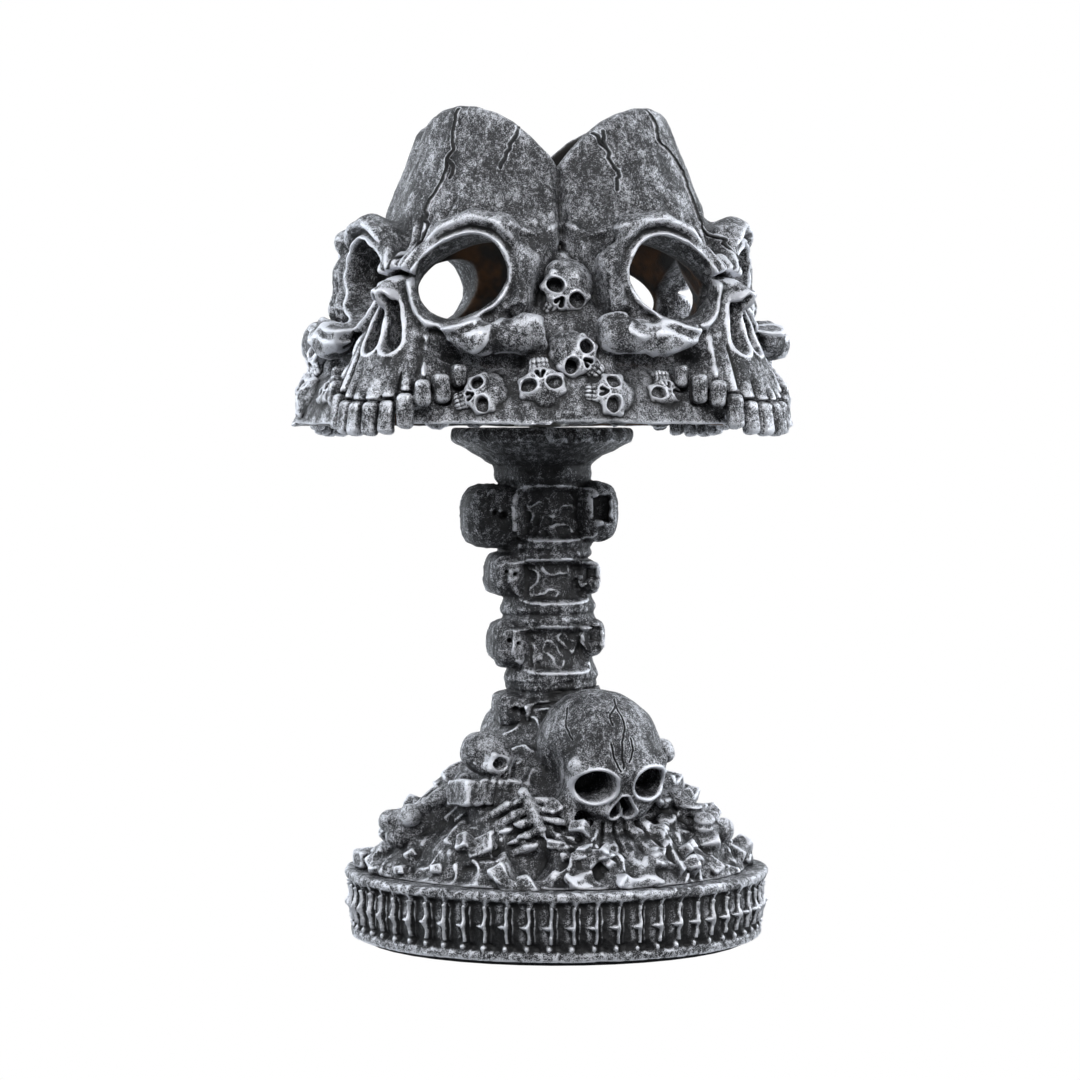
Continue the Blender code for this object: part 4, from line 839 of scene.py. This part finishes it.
cuts = []
for azimuth, paths in CRACKS.items():
    for path in paths:
        spots = on_face(azimuth, path)
        rays = [from_outside(spots[0])]
        wander = np.random.default_rng(len(cuts) + 70)
        for start, end in zip(spots, spots[1:]):
            parts = max(2, round(float(np.linalg.norm(end - start)) / 2.2))
            for i in range(1, parts + 1):
                step = start + (end - start) * i / parts
                rays.append(from_outside(step + wander.uniform(-0.7, 0.7, 3) * (i < parts)))
        cuts.append(rays)
chisel(shade_mesh, landed(shade_mesh, cuts), 1.5, 0.72)


# Small skulls in the corners between the faces, cast in one with the shade: six at each corner, from one model.


def skull(clay, centre, axes, size):
    """Models a skull of a given width. The axes are its right, forward and up directions."""
    window = clay.window(centre, size * 0.95)
    q = [v / size for v in local(clay.at(window), centre, axes)]

    def lump(shape, soft):
        clay.add(shape * size, window, soft=soft * size)

    lump(ellipsoid(q, (0, -0.10, 0.06), (0.5, 0.56, 0.46)), 0.02)
    lump(ellipsoid(q, (0, 0.16, -0.16), (0.40, 0.33, 0.30)), 0.10)
    lump(block(q, (0, 0.27, -0.47), (0.19, 0.15, 0.17), 0.1), 0.08)
    for side in (-1, 1):
        lump(bone(q, (side * 0.05, 0.43, 0.03), (side * 0.36, 0.32, 0.07), 0.085, 0.075), 0.06)
        lump(bone(q, (side * 0.36, 0.31, 0.06), (side * 0.37, 0.27, -0.2), 0.06, 0.05), 0.05)
        lump(bone(q, (side * 0.33, 0.30, -0.23), (side * 0.16, 0.41, -0.29), 0.085, 0.06), 0.05)
        lump(bone(q, (side * 0.36, 0.26, -0.22), (side * 0.46, -0.02, -0.17), 0.05, 0.045), 0.05)
        temple = ellipsoid(q, (side * 0.55, 0.10, -0.08), (0.15, 0.19, 0.20))
        clay.carve(temple * size, window, soft=0.08 * size)
        cheek = ellipsoid(q, (side * 0.33, 0.28, -0.40), (0.10, 0.22, 0.09))
        clay.carve(cheek * size, window, soft=0.06 * size)
    tilt = math.radians(12)
    for side in (-1, 1):
        away, rise = q[0] * side - 0.235, q[2] + 0.08
        long_way = np.abs((away * math.cos(tilt) - rise * math.sin(tilt)) / 0.145)
        short_way = np.abs((rise * math.cos(tilt) + away * math.sin(tilt)) / 0.125)
        socket = ((long_way**SQUARENESS + short_way**SQUARENESS) ** (1 / SQUARENESS) - 1) * 0.13
        front = np.clip((q[1] - 0.05) / 0.1, 0, 1)
        clay.swell(0.028 * size * np.exp(-(((socket - 0.02) / 0.022) ** 2)) * front, window)
        clay.carve(np.maximum(socket, (0.12 - q[1])) * size, window, soft=0.015 * size)
    flat = [q[0], q[1] * 0, q[2]]
    drops = [bone(flat, (s * 0.015, 0, -0.19), (s * 0.062, 0, -0.315), 0.018, 0.046) for s in (-1, 1)]
    nose = np.minimum(*drops)
    front = np.clip((q[1] - 0.2) / 0.1, 0, 1)
    clay.swell(0.022 * size * np.exp(-(((nose - 0.016) / 0.016) ** 2)) * front, window)
    clay.carve(np.maximum(nose, 0.22 - q[1]) * size, window, soft=0.01 * size)
    front = np.clip((q[1] - 0.1) / 0.1, 0, 1) * np.clip((-0.40 - q[2]) / 0.02, 0, 1)
    edge = np.arctan2(q[0], np.maximum(q[1] - 0.12, 0.02))
    comb = np.abs(np.mod(edge / 0.30, 1) - 0.5)
    clay.swell(-0.03 * size * np.exp(-((comb / 0.16) ** 2)) * front, window)
    clay.swell(-0.018 * size * np.exp(-(((q[2] + 0.50) / 0.016) ** 2)) * front, window)


SKULL_CELL = 0.28
SMALL_SIZE = 18.0
small = Clay((-11.5, -14, -13.5), (11.5, 12, 10.5), (SKULL_CELL,) * 3)
skull(small, (0, 0, 0), np.eye(3), SMALL_SIZE)
x, y, z = small.points
small.carve(y + 0.06 * SMALL_SIZE, soft=0.3)
small.swell(0.16 * grain(small, 1.6, 65) + 0.22 * crags(small, 2.6, 66) - 0.1)
small_mesh = fired(small, 6600)


def repeated(name, mesh, spots, turns, sizes, material):
    """One mesh with copies of another at points, each with its own turn and size, made by a node tree."""
    cloud = bpy.data.meshes.new(name + "_points")
    cloud.from_pydata([Vector(spot) * MM for spot in spots], [], [])
    for label, kind, values in (("turn", "FLOAT_VECTOR", turns), ("size", "FLOAT", sizes)):
        layer = cloud.attributes.new(label, kind, "POINT")
        flat = np.ascontiguousarray(values, np.float32).ravel()
        layer.data.foreach_set("vector" if kind == "FLOAT_VECTOR" else "value", flat)
    model = bpy.data.objects.new(name + "_model", mesh)
    tree = bpy.data.node_groups.new(name, "GeometryNodeTree")
    tree.interface.new_socket("Points", in_out="INPUT", socket_type="NodeSocketGeometry")
    tree.interface.new_socket("Copied", in_out="INPUT", socket_type="NodeSocketObject")
    tree.interface.new_socket("Skin", in_out="INPUT", socket_type="NodeSocketMaterial")
    tree.interface.new_socket("Result", in_out="OUTPUT", socket_type="NodeSocketGeometry")
    kinds = ("NodeGroupInput", "GeometryNodeObjectInfo", "GeometryNodeInstanceOnPoints")
    start, info, copies = (tree.nodes.new(kind) for kind in kinds)
    kinds = ("GeometryNodeRealizeInstances", "GeometryNodeSetMaterial", "NodeGroupOutput")
    real, skin, stop = (tree.nodes.new(kind) for kind in kinds)
    for label, kind, socket in (("turn", "FLOAT_VECTOR", "Rotation"), ("size", "FLOAT", "Scale")):
        value = tree.nodes.new("GeometryNodeInputNamedAttribute")
        value.data_type = kind
        value.inputs["Name"].default_value = label
        tree.links.new(value.outputs["Attribute"], copies.inputs[socket])
    for source, given, target, taken in (
        (start, "Points", copies, "Points"), (start, "Copied", info, "Object"), (info, "Geometry", copies, "Instance"),
        (copies, "Instances", real, "Geometry"), (real, "Geometry", skin, "Geometry"),
        (start, "Skin", skin, "Material"), (skin, "Geometry", stop, "Result"),
    ):
        tree.links.new(source.outputs[given], target.inputs[taken])
    holder = bpy.data.objects.new(name + "_cloud", cloud)
    bpy.context.scene.collection.objects.link(holder)
    layout = holder.modifiers.new("copies", "NODES")
    layout.node_group = tree
    sockets = {item.name: item.identifier for item in tree.interface.items_tree}
    layout[sockets["Copied"]] = model
    layout[sockets["Skin"]] = material
    bpy.context.view_layer.update()
    result = bpy.data.meshes.new_from_object(holder.evaluated_get(bpy.context.evaluated_depsgraph_get()))
    bpy.data.objects.remove(holder)
    bpy.data.objects.remove(model)
    return result


# Each by the place between its eyes, as reach along the corner, distance to the right and height, then its width, its
# roll clockwise, its turn to the right and how far it leans back.
CORNER_SKULLS = (
    (76.5, -0.8, 254.6, 21.5, 34, 0, -4),
    (94.5, -12.3, 219.6, 20.5, 172, -8, 20),
    (91.5, 1.9, 230.2, 20.0, -52, 5, 8),
    (96.0, 14.2, 216.4, 19.5, 95, 8, 22),
    (91.0, -35.0, 216.2, 19.0, 72, -22, 18),
    (88.0, 35.9, 216.2, 18.0, 184, 30, 20),
)
spots, turns, sizes, frames = [], [], [], []
for corner in range(4):
    azimuth = corner * 90
    for outward, sideways, height, width, roll, turn, back in CORNER_SKULLS:
        axes = turn_axes(azimuth + turn, back, roll)
        spot = on_face(azimuth, ((outward, sideways, height),))[0] - np.array((0, 0.40, -0.08)) @ axes * width
        proper = Matrix((-axes[0], axes[1], axes[2])).transposed()
        spots.append(spot)
        turns.append(tuple(proper.to_euler()))
        sizes.append(width / SMALL_SIZE)
        frames.append(np.array(proper).T)
skulls_mesh = repeated("corner_skulls", small_mesh, spots, turns, sizes, aged_silver("small_skull_resin", 0.45, 0.1))
skulls_mesh.shade_smooth()
# Painted shade where the small skulls meet the shade, marked on both.
touching(skulls_mesh, shade, 1.4)
points = places(shade_mesh) / MM
gap = np.full(len(points), FAR)
for spot, axes, size in zip(spots, frames, sizes):
    near = np.linalg.norm(points - spot, axis=1) < 17
    if near.any():
        inside = (points[near] - spot) @ axes.T / size
        gap[near] = np.minimum(gap[near], small.read(small.skin, inside * MM) * size)
darken(shade_mesh, np.clip((2.0 - gap) / 1.6, 0, 1))


# Column. The spine of the stand, cast in one with the base: a collar that carries the shade, then four vertebrae
# between rings. Each has a sunk rough panel in front, a lobe at each side with a pit in it, and a plain back.

COLUMN_CELL = 0.5
column = Clay((-40, -40, 74), (42, 40, 205), (COLUMN_CELL,) * 3)
x, y, z = column.points


def lean(height):
    """How far the spine's middle stands off the tube axis at a height."""
    return np.interp(height, (85, 103, 131, 185, 206), (5.0, 4.0, 2.5, 0.3, 0.0)).astype(np.float32)


off = x - lean(z)
rho = np.hypot(off, y)
body = np.interp(
    z,
    (74, 84, 92, 99, 102, 106, 116, 124, 129, 133, 143, 151, 155, 158, 168, 178, 181),
    (19, 17.5, 16, 16.5, 17, 18, 16, 16.2, 17, 18, 16, 16.2, 17, 17.2, 16.2, 16.4, 17),
).astype(np.float32)
column.add(np.maximum((rho - body) * 0.95, z - 192), soft=1)
for height, ring_radius, half in (
    (185.3, 19.4, 3.9), (157.3, 18.7, 1.7), (153.6, 18.6, 1.6), (132.2, 18.9, 2.0), (127.6, 18.5, 1.6),
    (104.8, 18.6, 1.8), (101.2, 18.0, 1.7), (97.8, 17.4, 1.4),
):
    q = np.hypot(np.maximum(rho - (ring_radius - half), 0), z - height - 0.03 * off) - half
    column.add(q, soft=1.2)
neck = np.interp(z, (186, 189, 193, 198.3, 199), (18, 19.4, 25, 35.0, 35.2)).astype(np.float32)
column.add(np.maximum((rho - neck) * 0.72, np.maximum(187 - z, z - 200)), soft=1.5)
wavy = 36.2 + 0.5 * np.sin(np.arctan2(y, x) * 7 + 1)
column.add(np.hypot(np.maximum(rho - (wavy - 2.9), 0), np.maximum(np.abs(z - 200.9) - 0.1, 0)) - 2.9, soft=1)
column.carve(204 - z, soft=0.6)

# Each pair of lobes by its height, distance to the right, half width and half height.
LOBES = (
    (169.0, -19.5, 12.2, 12.6), (170.5, 20.5, 9.2, 11.6), (145.5, -14.6, 7.6, 8.4), (145.0, 17.0, 5.6, 6.0),
    (118.3, -13.6, 7.4, 8.8), (120.5, 18.3, 6.2, 6.9), (91.2, -11.2, 8.0, 7.4), (92.0, 19.0, 6.0, 7.0),
)
LOBE_DEEP = 11.0
for height, sideways, wide, tall in LOBES:
    for middle in (-5.0, 8.0):
        centre = (sideways, middle, height)
        window = column.window(centre, 20)
        q = [np.abs(v) for v in local(column.at(window), centre)]
        lump = ((q[0] / wide) ** 2.8 + (q[1] / LOBE_DEEP) ** 2.8 + (q[2] / tall) ** 2.8) ** (1 / 2.8)
        column.add((lump - 1) * min(wide, tall) * 0.95, window, soft=1.2)
    if sideways < 0:
        for pit, halves in (
            ((sideways + 2.0, -16.0, height + 0.5), (1.9, 3.0, 1.7)),
            ((sideways - 1.2, -15.6, height + 1.5), (1.4, 2.4, 1.2)),
        ):
            column.press(ellipsoid, pit, 8, pit, halves, soft=0.8, cut=True)
    else:
        pit = (sideways + 1.0, -17.0, height + 1.2)
        column.press(block, pit, 12, pit, (wide * 0.45, 6.5, tall * 0.46), 1.2, soft=1.2, cut=True)

# The panels: a raised frame and a sunk rough field.
PANELS = ((158.8, 181.3, -12.5, 15.2), (133.8, 152.0, -13.5, 15.6), (106.2, 125.4, -13.0, 15.6), (84, 96, -11, 12))
around = np.arctan2(off, -y) * 17
for low, high, left, right in PANELS:
    middle, half = (low + high) / 2, (high - low) / 2
    across, span = (left + right) / 2, (right - left) / 2
    arch = np.abs((around - across) / span) ** 4 * 1.6
    box = np.maximum(np.abs(around - across) - span, np.abs(z - middle) + arch - half)
    front = np.clip((8 - y) / 6, 0, 1) * np.clip((rho - 9) / 4, 0, 1)
    frame_line = np.exp(-(((box + 0.5) / 0.95) ** 2)) * front
    column.swell(1.05 * frame_line)
    column.swell(-0.8 * np.clip(-(box + 1.6) / 1.0, 0, 1) * front)
    field = np.clip(-(box + 1.8) / 1.5, 0, 1) * front
    column.swell(field * (0.9 * crags(column, 2.8, 21) - 0.3))
column.swell(0.45 * grain(column, 6.0, 22) + 0.28 * crags(column, 2.6, 23) + 0.18 * grain(column, 1.6, 24))
column.carve(204 - z, soft=0.4)

column_mesh = fired(column, 150000)


# Heap. The mound of bones and broken rock under the column: a large skull, a small one, a rib cage, thigh bones and
# rubble, all cast in one with the column and the drum.

HEAP_CELL = 0.62
heap = Clay((-80, -82, 19), (92, 82, 115), (HEAP_CELL,) * 3)
x, y, z = heap.points
off = x - 6
slope = np.interp(
    z, (19, 27, 29, 33, 40, 50, 60, 70, 80, 92, 100), (75, 75, 76.5, 74.5, 68, 57, 46, 37, 28, 20, 16)
).astype(np.float32)
rho = np.hypot(off, y)
turn = np.arctan2(off, -y)
heap.add(np.maximum((rho - slope) * 0.72, np.maximum(24 - z, z - 100)), soft=1)
front = np.clip(1.2 - np.abs(turn) / 1.5, 0.25, 1)
low_part = np.clip((62 - z) / 20, 0.3, 1)
foot = np.clip((z - 27.5) / 3, 0, 1)
heap.swell((4.2 * crags(heap, 13, 31) - 1.6 + 2.6 * crags(heap, 7, 32) - 1.0) * front * low_part * foot)
heap.swell((1.7 * crags(heap, 4.2, 33) - 0.5) * front * foot + 0.8 * grain(heap, 9, 34) * foot)

dice = np.random.default_rng(8)
for _ in range(130):
    angle = dice.uniform(-2.2, 2.2)
    height = dice.uniform(30, 66)
    reach = float(np.interp(height, (29, 33, 40, 50, 60, 70), (76.5, 74.5, 68, 57, 46, 37))) - 1.0
    spot = np.array((6 + reach * math.sin(angle), -reach * math.cos(angle), height))
    axes = turn_axes(dice.uniform(0, 360), dice.uniform(-50, 50), dice.uniform(-60, 60))
    size = dice.uniform(2.2, 5.0)
    halves = (size * 1.5, size, size * 0.7)
    heap.press(block, spot, size * 2 + 3, spot, halves, size * 0.22, axes, soft=0.7)


def stick(start, end, first, last, soft=1.2, cut=False):
    """Adds one bone to the heap, or presses a channel of that shape into it."""
    start, end = np.array(start, float), np.array(end, float)
    reach = float(np.linalg.norm(end - start)) / 2 + max(first, last) + 3
    heap.press(bone, (start + end) / 2, reach, start, end, first, last, soft=soft, cut=cut)


# Thigh bones at the sides, the stump, and the rib cage in front.
for start, end, first, last in (
    ((-34, -28, 66), (-56, -26, 51), 3.0, 3.2),
    ((-57, -24, 50.5), (-62.5, -21, 49.5), 3.8, 4.6),
    ((-56, -27, 51.0), (-55.5, -29, 52.5), 3.8, 4.6),
    ((-45, -24, 50), (-60, -24, 44), 6.0, 5.0),
    ((48, -28, 60), (61, -34, 48.5), 3.4, 3.6),
    ((61, -34, 48), (59.5, -37, 48.4), 4.2, 4.7),
    ((63, -33, 46), (67.8, -31.5, 45.0), 4.2, 4.9),
    ((50, -26, 48), (62, -31, 42), 6.0, 5.0),
    ((46, -16, 75), (41, -6, 68), 5.2, 4.5),
):
    stick(start, end, first, last)
ledge = (-27.3, -38.8, 62.0)
heap.press(block, ledge, 24, ledge, (12.5, 9.0, 5.2), 1.4, turn_axes(-68, 6, 4), soft=1.4)
stick((-26, -38, 56), (-24, -44, 46), 8.0, 8.0)
stick((-20, -60, 56), (-12, -66, 40), 9.5, 9.5, 2, cut=True)
stick((-13.5, -51, 63), (-5.5, -61.5, 44.5), 2.2, 1.9)
stick((-5.5, -61.5, 44.5), (1.5, -62.5, 43.5), 1.9, 1.5)
for i in range(5):
    share = i / 4
    top = np.array((-13.0 + 7.0 * share, -51.5 - 9.0 * share, 61.0 - 14.5 * share))
    bend = top + np.array((-7.0 + 0.5 * i, 0.5, -2.6))
    tip = top + np.array((-15.5 + 0.6 * i, 4.5, -8.6 + 0.6 * i))
    stick(top, bend, 1.6, 1.8, 0.6)
    stick(bend, tip, 1.8, 1.7, 0.6)
    if i < 3:
        bend = top + np.array((8.0, -0.5, -1.0))
        stick(top, bend, 1.4, 1.4, 0.6)
        stick(bend, bend + np.array((7.0, 3.5, -1.8)), 1.4, 1.2, 0.6)

heap.press(bone, (26, -60, 54), 30, (22, -50, 62), (29, -68, 50), 14.0, 9.5, soft=5, cut=True)
skull(heap, (19.4, -35, 75), turn_axes(-75, -14, -2), 47.5)
skull(heap, (-25, -34, 75.5), turn_axes(-38, -8, 10), 19.0)
skull(heap, (-2, 34, 74), turn_axes(105, -10, 12), 40.0)
heap.swell(0.35 * grain(heap, 3.0, 35) * foot)

heap_mesh = fired(heap, 172000)
SIGHT = np.array((0.1305, 0.9914, 0.0))


def from_front(across, height):
    """A ray from 150 mm in front of the lamp, at a distance to the right and a height in the front view."""
    spot = np.array((across * SIGHT[1], -across * SIGHT[0], height)) - SIGHT * 150
    return Vector(spot * MM), Vector(SIGHT)


SKULL_CRACKS = (
    ((28.1, 101.5), (28.8, 96), (31.8, 90.1), (32.1, 87.1), (31, 82.7), (31, 77.6), (31.6, 72.8)),
    ((28.8, 96), (26.4, 92.6), (27.6, 89.0)),
    ((26.8, 82.0), (27.8, 77.0), (30.6, 71.6)),
    ((34.4, 84.0), (35.4, 79.5), (33.8, 75.0)),
    ((10.0, 95.0), (9.4, 88.0), (12.0, 83.5)),
)
cuts = []
for path in SKULL_CRACKS:
    rays = []
    for start, end in zip(path, path[1:]):
        for share in (0.0, 0.34, 0.67):
            across, height = (a + (b - a) * share for a, b in zip(start, end))
            rays.append(from_front(across + dice.uniform(-0.3, 0.3) * (share > 0), height))
    cuts.append(rays + [from_front(*path[-1])])
chisel(heap_mesh, landed(heap_mesh, cuts), 0.8, 0.42)
# Painted shade where the heap and the column meet.
touching(heap_mesh, column)
touching(column_mesh, heap)


# Drum. The round foot of the same cast, with two lips and a frieze of little rib bones between them.

DRUM_CELL = 0.42
drum = Clay((-math.pi, 66, 0.5), (math.pi, 86, 30), (DRUM_CELL / 84, DRUM_CELL, DRUM_CELL), slices=1)
x, y, z = drum.points
rho = np.hypot(x, y)
swollen = np.interp(z, (1.8, 3.0, 5.0, 10, 17, 23, 30), (79.2, 80.5, 81.0, 82.3, 82.8, 82.4, 82)).astype(np.float32)
drum.add(np.maximum(np.maximum(rho - swollen, 73.4 - rho), np.maximum(1.8 - z, z - 26.4)), soft=0.5)
drum.add(np.maximum(np.maximum(rho - 82.0, 68 - rho), np.maximum(20 - z, z - 26.4)), soft=0.5)
FRIEZE_COUNT = 60
pitch = 2 * math.pi * 83 / FRIEZE_COUNT
along = np.mod(drum.angle * FRIEZE_COUNT / (2 * math.pi), 1) * pitch - pitch / 2
recess = np.clip(np.minimum(z - 4.6, 25.0 - z) / 1.2, 0, 1)
drum.swell(-(1.4 + 0.5 * np.cos(2 * math.pi * (along - 2) / pitch)) * recess)
wander = 0.14 * np.sin(z * 0.9 + drum.angle * 37)


def raised(gap, height, width):
    """Raises the drum's skin along a line or at a knob that lies at a distance."""
    drum.swell(height * np.exp(-((gap / width) ** 2)))


tall = np.clip(np.minimum(z - 7.8, 23.4 - z) / 1.0, 0, 1)
raised(np.abs(along + wander) + (1 - tall) * 2, 2.3, 0.62)
raised(np.abs(along - 2.1 + wander) + (1 - tall) * 2, 0.9, 0.45)
spur = 0.3 + 2.0 * np.clip(1 + along / 3.0, 0, 1)
drum.swell(2.0 * np.clip(1.2 - np.abs(z - 15.0) / spur, 0, 1) * np.clip(1.5 - np.abs(along + 1.6) / 1.6, 0, 1))
raised(np.hypot(along - 0.6, (z - 23.8) / 1.3), 2.5, 1.35)
raised(np.hypot(along + 0.8, (z - 6.4) / 1.2), 2.3, 1.3)
raised(np.hypot(along - 2.4, (z - 5.6)), 1.6, 0.9)
lip = np.hypot(np.maximum(rho - 82.9, 0), np.maximum(np.abs(z - 26.6) - 0.2, 0)) - 1.55
drum.add(np.maximum(lip, 75 - rho), soft=0.8)
lip = np.hypot(np.maximum(rho - 80.6, 0), np.maximum(np.abs(z - 3.5) - 0.6, 0)) - 1.3
drum.add(np.maximum(lip, 75 - rho), soft=0.8)
worn = 0.22 * grain(drum, 5.0, 41) + 0.25 * crags(drum, 2.4, 42) + 0.12 * grain(drum, 1.2, 43)
drum.swell(worn * np.clip((rho - 76) / 2, 0, 1))
drum.carve(z - 1.8, soft=0.3)

# At the back, a flat pad with the hole for the cord.
hole = np.hypot(x, z - 13)
drum.carve(np.maximum(np.maximum(np.abs(x) - 10, np.abs(z - 13) - 9.5), 80 - y), soft=0.6)
drum.carve(np.maximum(hole - 5, 40 - y), soft=0.3)
drum_mesh = fired(drum, 195000, move=(6, 0, 0))
# Painted shade in the sunk ground of the frieze between the two lips, deeper ground darker.
points = places(drum_mesh) / MM
ground = 82.0 - np.hypot(points[:, 0] - 6, points[:, 1])
between_lips = np.clip(np.minimum(points[:, 2] - 4.8, 25.2 - points[:, 2]), 0, 1)
write(drum_mesh, "painted_shade", np.clip(ground / 0.7, 0, 0.96) * between_lips)
# Painted shade on the heap where it meets the drum.
touching(heap_mesh, drum, 1.2, move=(6, 0, 0))

keep("shade_skin", shade_mesh, "cast_resin", aged_silver("shade_resin", 1.7, brown=True), "shade_casting")
keep("corner_skulls", skulls_mesh, "cast_resin", bpy.data.materials["small_skull_resin"], "shade_casting")
keep("column", column_mesh, "cast_resin", aged_silver("column_resin", 0.8, -0.3), "stand_casting")
keep("bone_heap", heap_mesh, "cast_resin", aged_silver("heap_resin", 0.7, -0.1), "stand_casting")
keep("drum_frieze", drum_mesh, "cast_resin", aged_silver("drum_resin", 0.3, 0.0), "stand_casting")

# Steel fittings: threaded tube, nuts, washers, the cross that carries the shade and all screws, turned or stamped
# and zinc plated, dull with a fine cloudy grain.


def fitting(name, dark, light, clouds, rough, metal, grain_depth, *nodes):
    """A material with cloudy colour and a fine grain, put on CAD nodes."""
    material, shader, wire = new_material(name)
    cloudy = wire.noise(clouds, 4.0)
    feed(
        shader,
        wire,
        Base_Color=cloudy.ramp(0.3, 0.7).tint((*dark, 1), (*light, 1)),
        Metallic=metal,
        Roughness=cloudy.ramp(0.3, 0.7, rough - 0.09, rough + 0.09),
        Normal=wire.bump(wire.noise(clouds * 9, 3.0), grain_depth),
    )
    for node in nodes:
        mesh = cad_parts[node].data
        mesh.materials.clear()
        mesh.materials.append(material)


STEEL = ["threaded_tube", "lower_washer", "lower_nut", "upper_washer", "upper_nut", "locking_screw", "shade_cross"]
for kind, count in (("cross", 4), ("board", 4), ("clamp", 2)):
    STEEL += [f"{kind}_screw_{i + 1}" for i in range(count)]
fitting("plated_steel", (0.34, 0.34, 0.33), (0.62, 0.62, 0.60), 160, 0.36, 0.95, 0.00004, *STEEL)

# Lampholder: cap, skirt and ring moulded in black plastic, round a glazed ceramic insert with two brass contacts.
fitting("moulded_plastic", (0.016, 0.016, 0.017), (0.040, 0.040, 0.042), 300, 0.42, 0.0, 0.00005,
        "holder_cap", "holder_skirt", "holder_ring", "cord_clamp")
fitting("glazed_ceramic", (0.66, 0.63, 0.57), (0.82, 0.80, 0.75), 120, 0.22, 0.0, 0.00002, "holder_insert")
fitting("brass_strip", (0.50, 0.35, 0.14), (0.76, 0.57, 0.27), 240, 0.32, 0.95, 0.00003,
        "centre_contact", "side_contact")

# Bulb: a small candle-size bulb in frosted white glass.
fitting("frosted_glass", (0.78, 0.76, 0.71), (0.92, 0.91, 0.87), 90, 0.46, 0.0, 0.00002, "bulb")

# Underside: a hardboard plate over the hollow of the drum, felt glued under it, and a rubber grommet in the cord hole.
fitting("hardboard", (0.15, 0.085, 0.040), (0.31, 0.20, 0.11), 420, 0.72, 0.0, 0.00012, "base_board")
fitting("pressed_felt", (0.012, 0.012, 0.015), (0.050, 0.050, 0.056), 900, 0.95, 0.0, 0.00040, "base_felt")
fitting("black_rubber", (0.012, 0.012, 0.012), (0.032, 0.031, 0.030), 260, 0.62, 0.0, 0.00006, "cord_grommet")

# Camera and light: a plain white sweep, soft light from above and both sides.
camera_data = bpy.data.cameras.new("camera")
camera = bpy.data.objects.new("camera", camera_data)
bpy.context.scene.collection.objects.link(camera)
bpy.context.scene.camera = camera
camera_data.sensor_width = 36
camera_data.lens = 110
azimuth = math.radians(-7.5)
distance = 1.32
eye = Vector((math.sin(azimuth) * distance, -math.cos(azimuth) * distance, 0.199))
right_of_view = Vector((math.cos(azimuth), math.sin(azimuth), 0))
target = Vector((0, 0, 0.159)) - right_of_view * 0.0006
camera.location = eye
camera.rotation_euler = (target - eye).to_track_quat("-Z", "Y").to_euler()

world = bpy.data.worlds.new("world")
bpy.context.scene.world = world
world.use_nodes = True
tree = world.node_tree
tree.nodes.clear()
wire = Wire(tree)
in_view = wire.make("ShaderNodeLightPath", output="Is Camera Ray")
toward = wire.make("ShaderNodeTexCoord", output="Generated")
depth = wire.make("ShaderNodeSeparateXYZ", None, {0: toward}, "Y")
height = wire.make("ShaderNodeSeparateXYZ", None, {0: toward}, "Z")
glow = depth.ramp(-0.5, 0.7, 0.16, 0.8) + height.ramp(-0.1, 0.9, 0.0, 0.35)
surround = wire.make("ShaderNodeBackground", None, {"Color": (0.90, 0.95, 1.0, 1), "Strength": glow})
white = wire.make("ShaderNodeBackground", None, {"Color": (1, 1, 1, 1), "Strength": 1.0})
both = wire.make("ShaderNodeMixShader", None, {0: in_view, 1: surround, 2: white})
tree.links.new(both.socket, tree.nodes.new("ShaderNodeOutputWorld").inputs[0])


def area_light(name, place, size, power, colour=(1, 1, 1), aim=(0, 0, 0.2)):
    """A square light that faces the lamp."""
    data = bpy.data.lights.new(name, "AREA")
    data.energy, data.size, data.color = power, size, colour
    lamp = bpy.data.objects.new(name, data)
    bpy.context.scene.collection.objects.link(lamp)
    lamp.location = place
    lamp.rotation_euler = (Vector(aim) - Vector(place)).to_track_quat("-Z", "Y").to_euler()


COOL = (0.90, 0.95, 1)
area_light("key", (-0.35, -1.1, 1.0), 0.45, 10)
area_light("fill", (0.8, -0.9, 0.6), 0.5, 5, aim=(0, 0, 0.18))
area_light("left_rim", (-1.1, 0.25, 0.5), 0.7, 6, COOL)
area_light("right_rim", (1.1, 0.3, 0.45), 0.7, 6, COOL)

bpy.context.scene.view_settings.view_transform = "Standard"
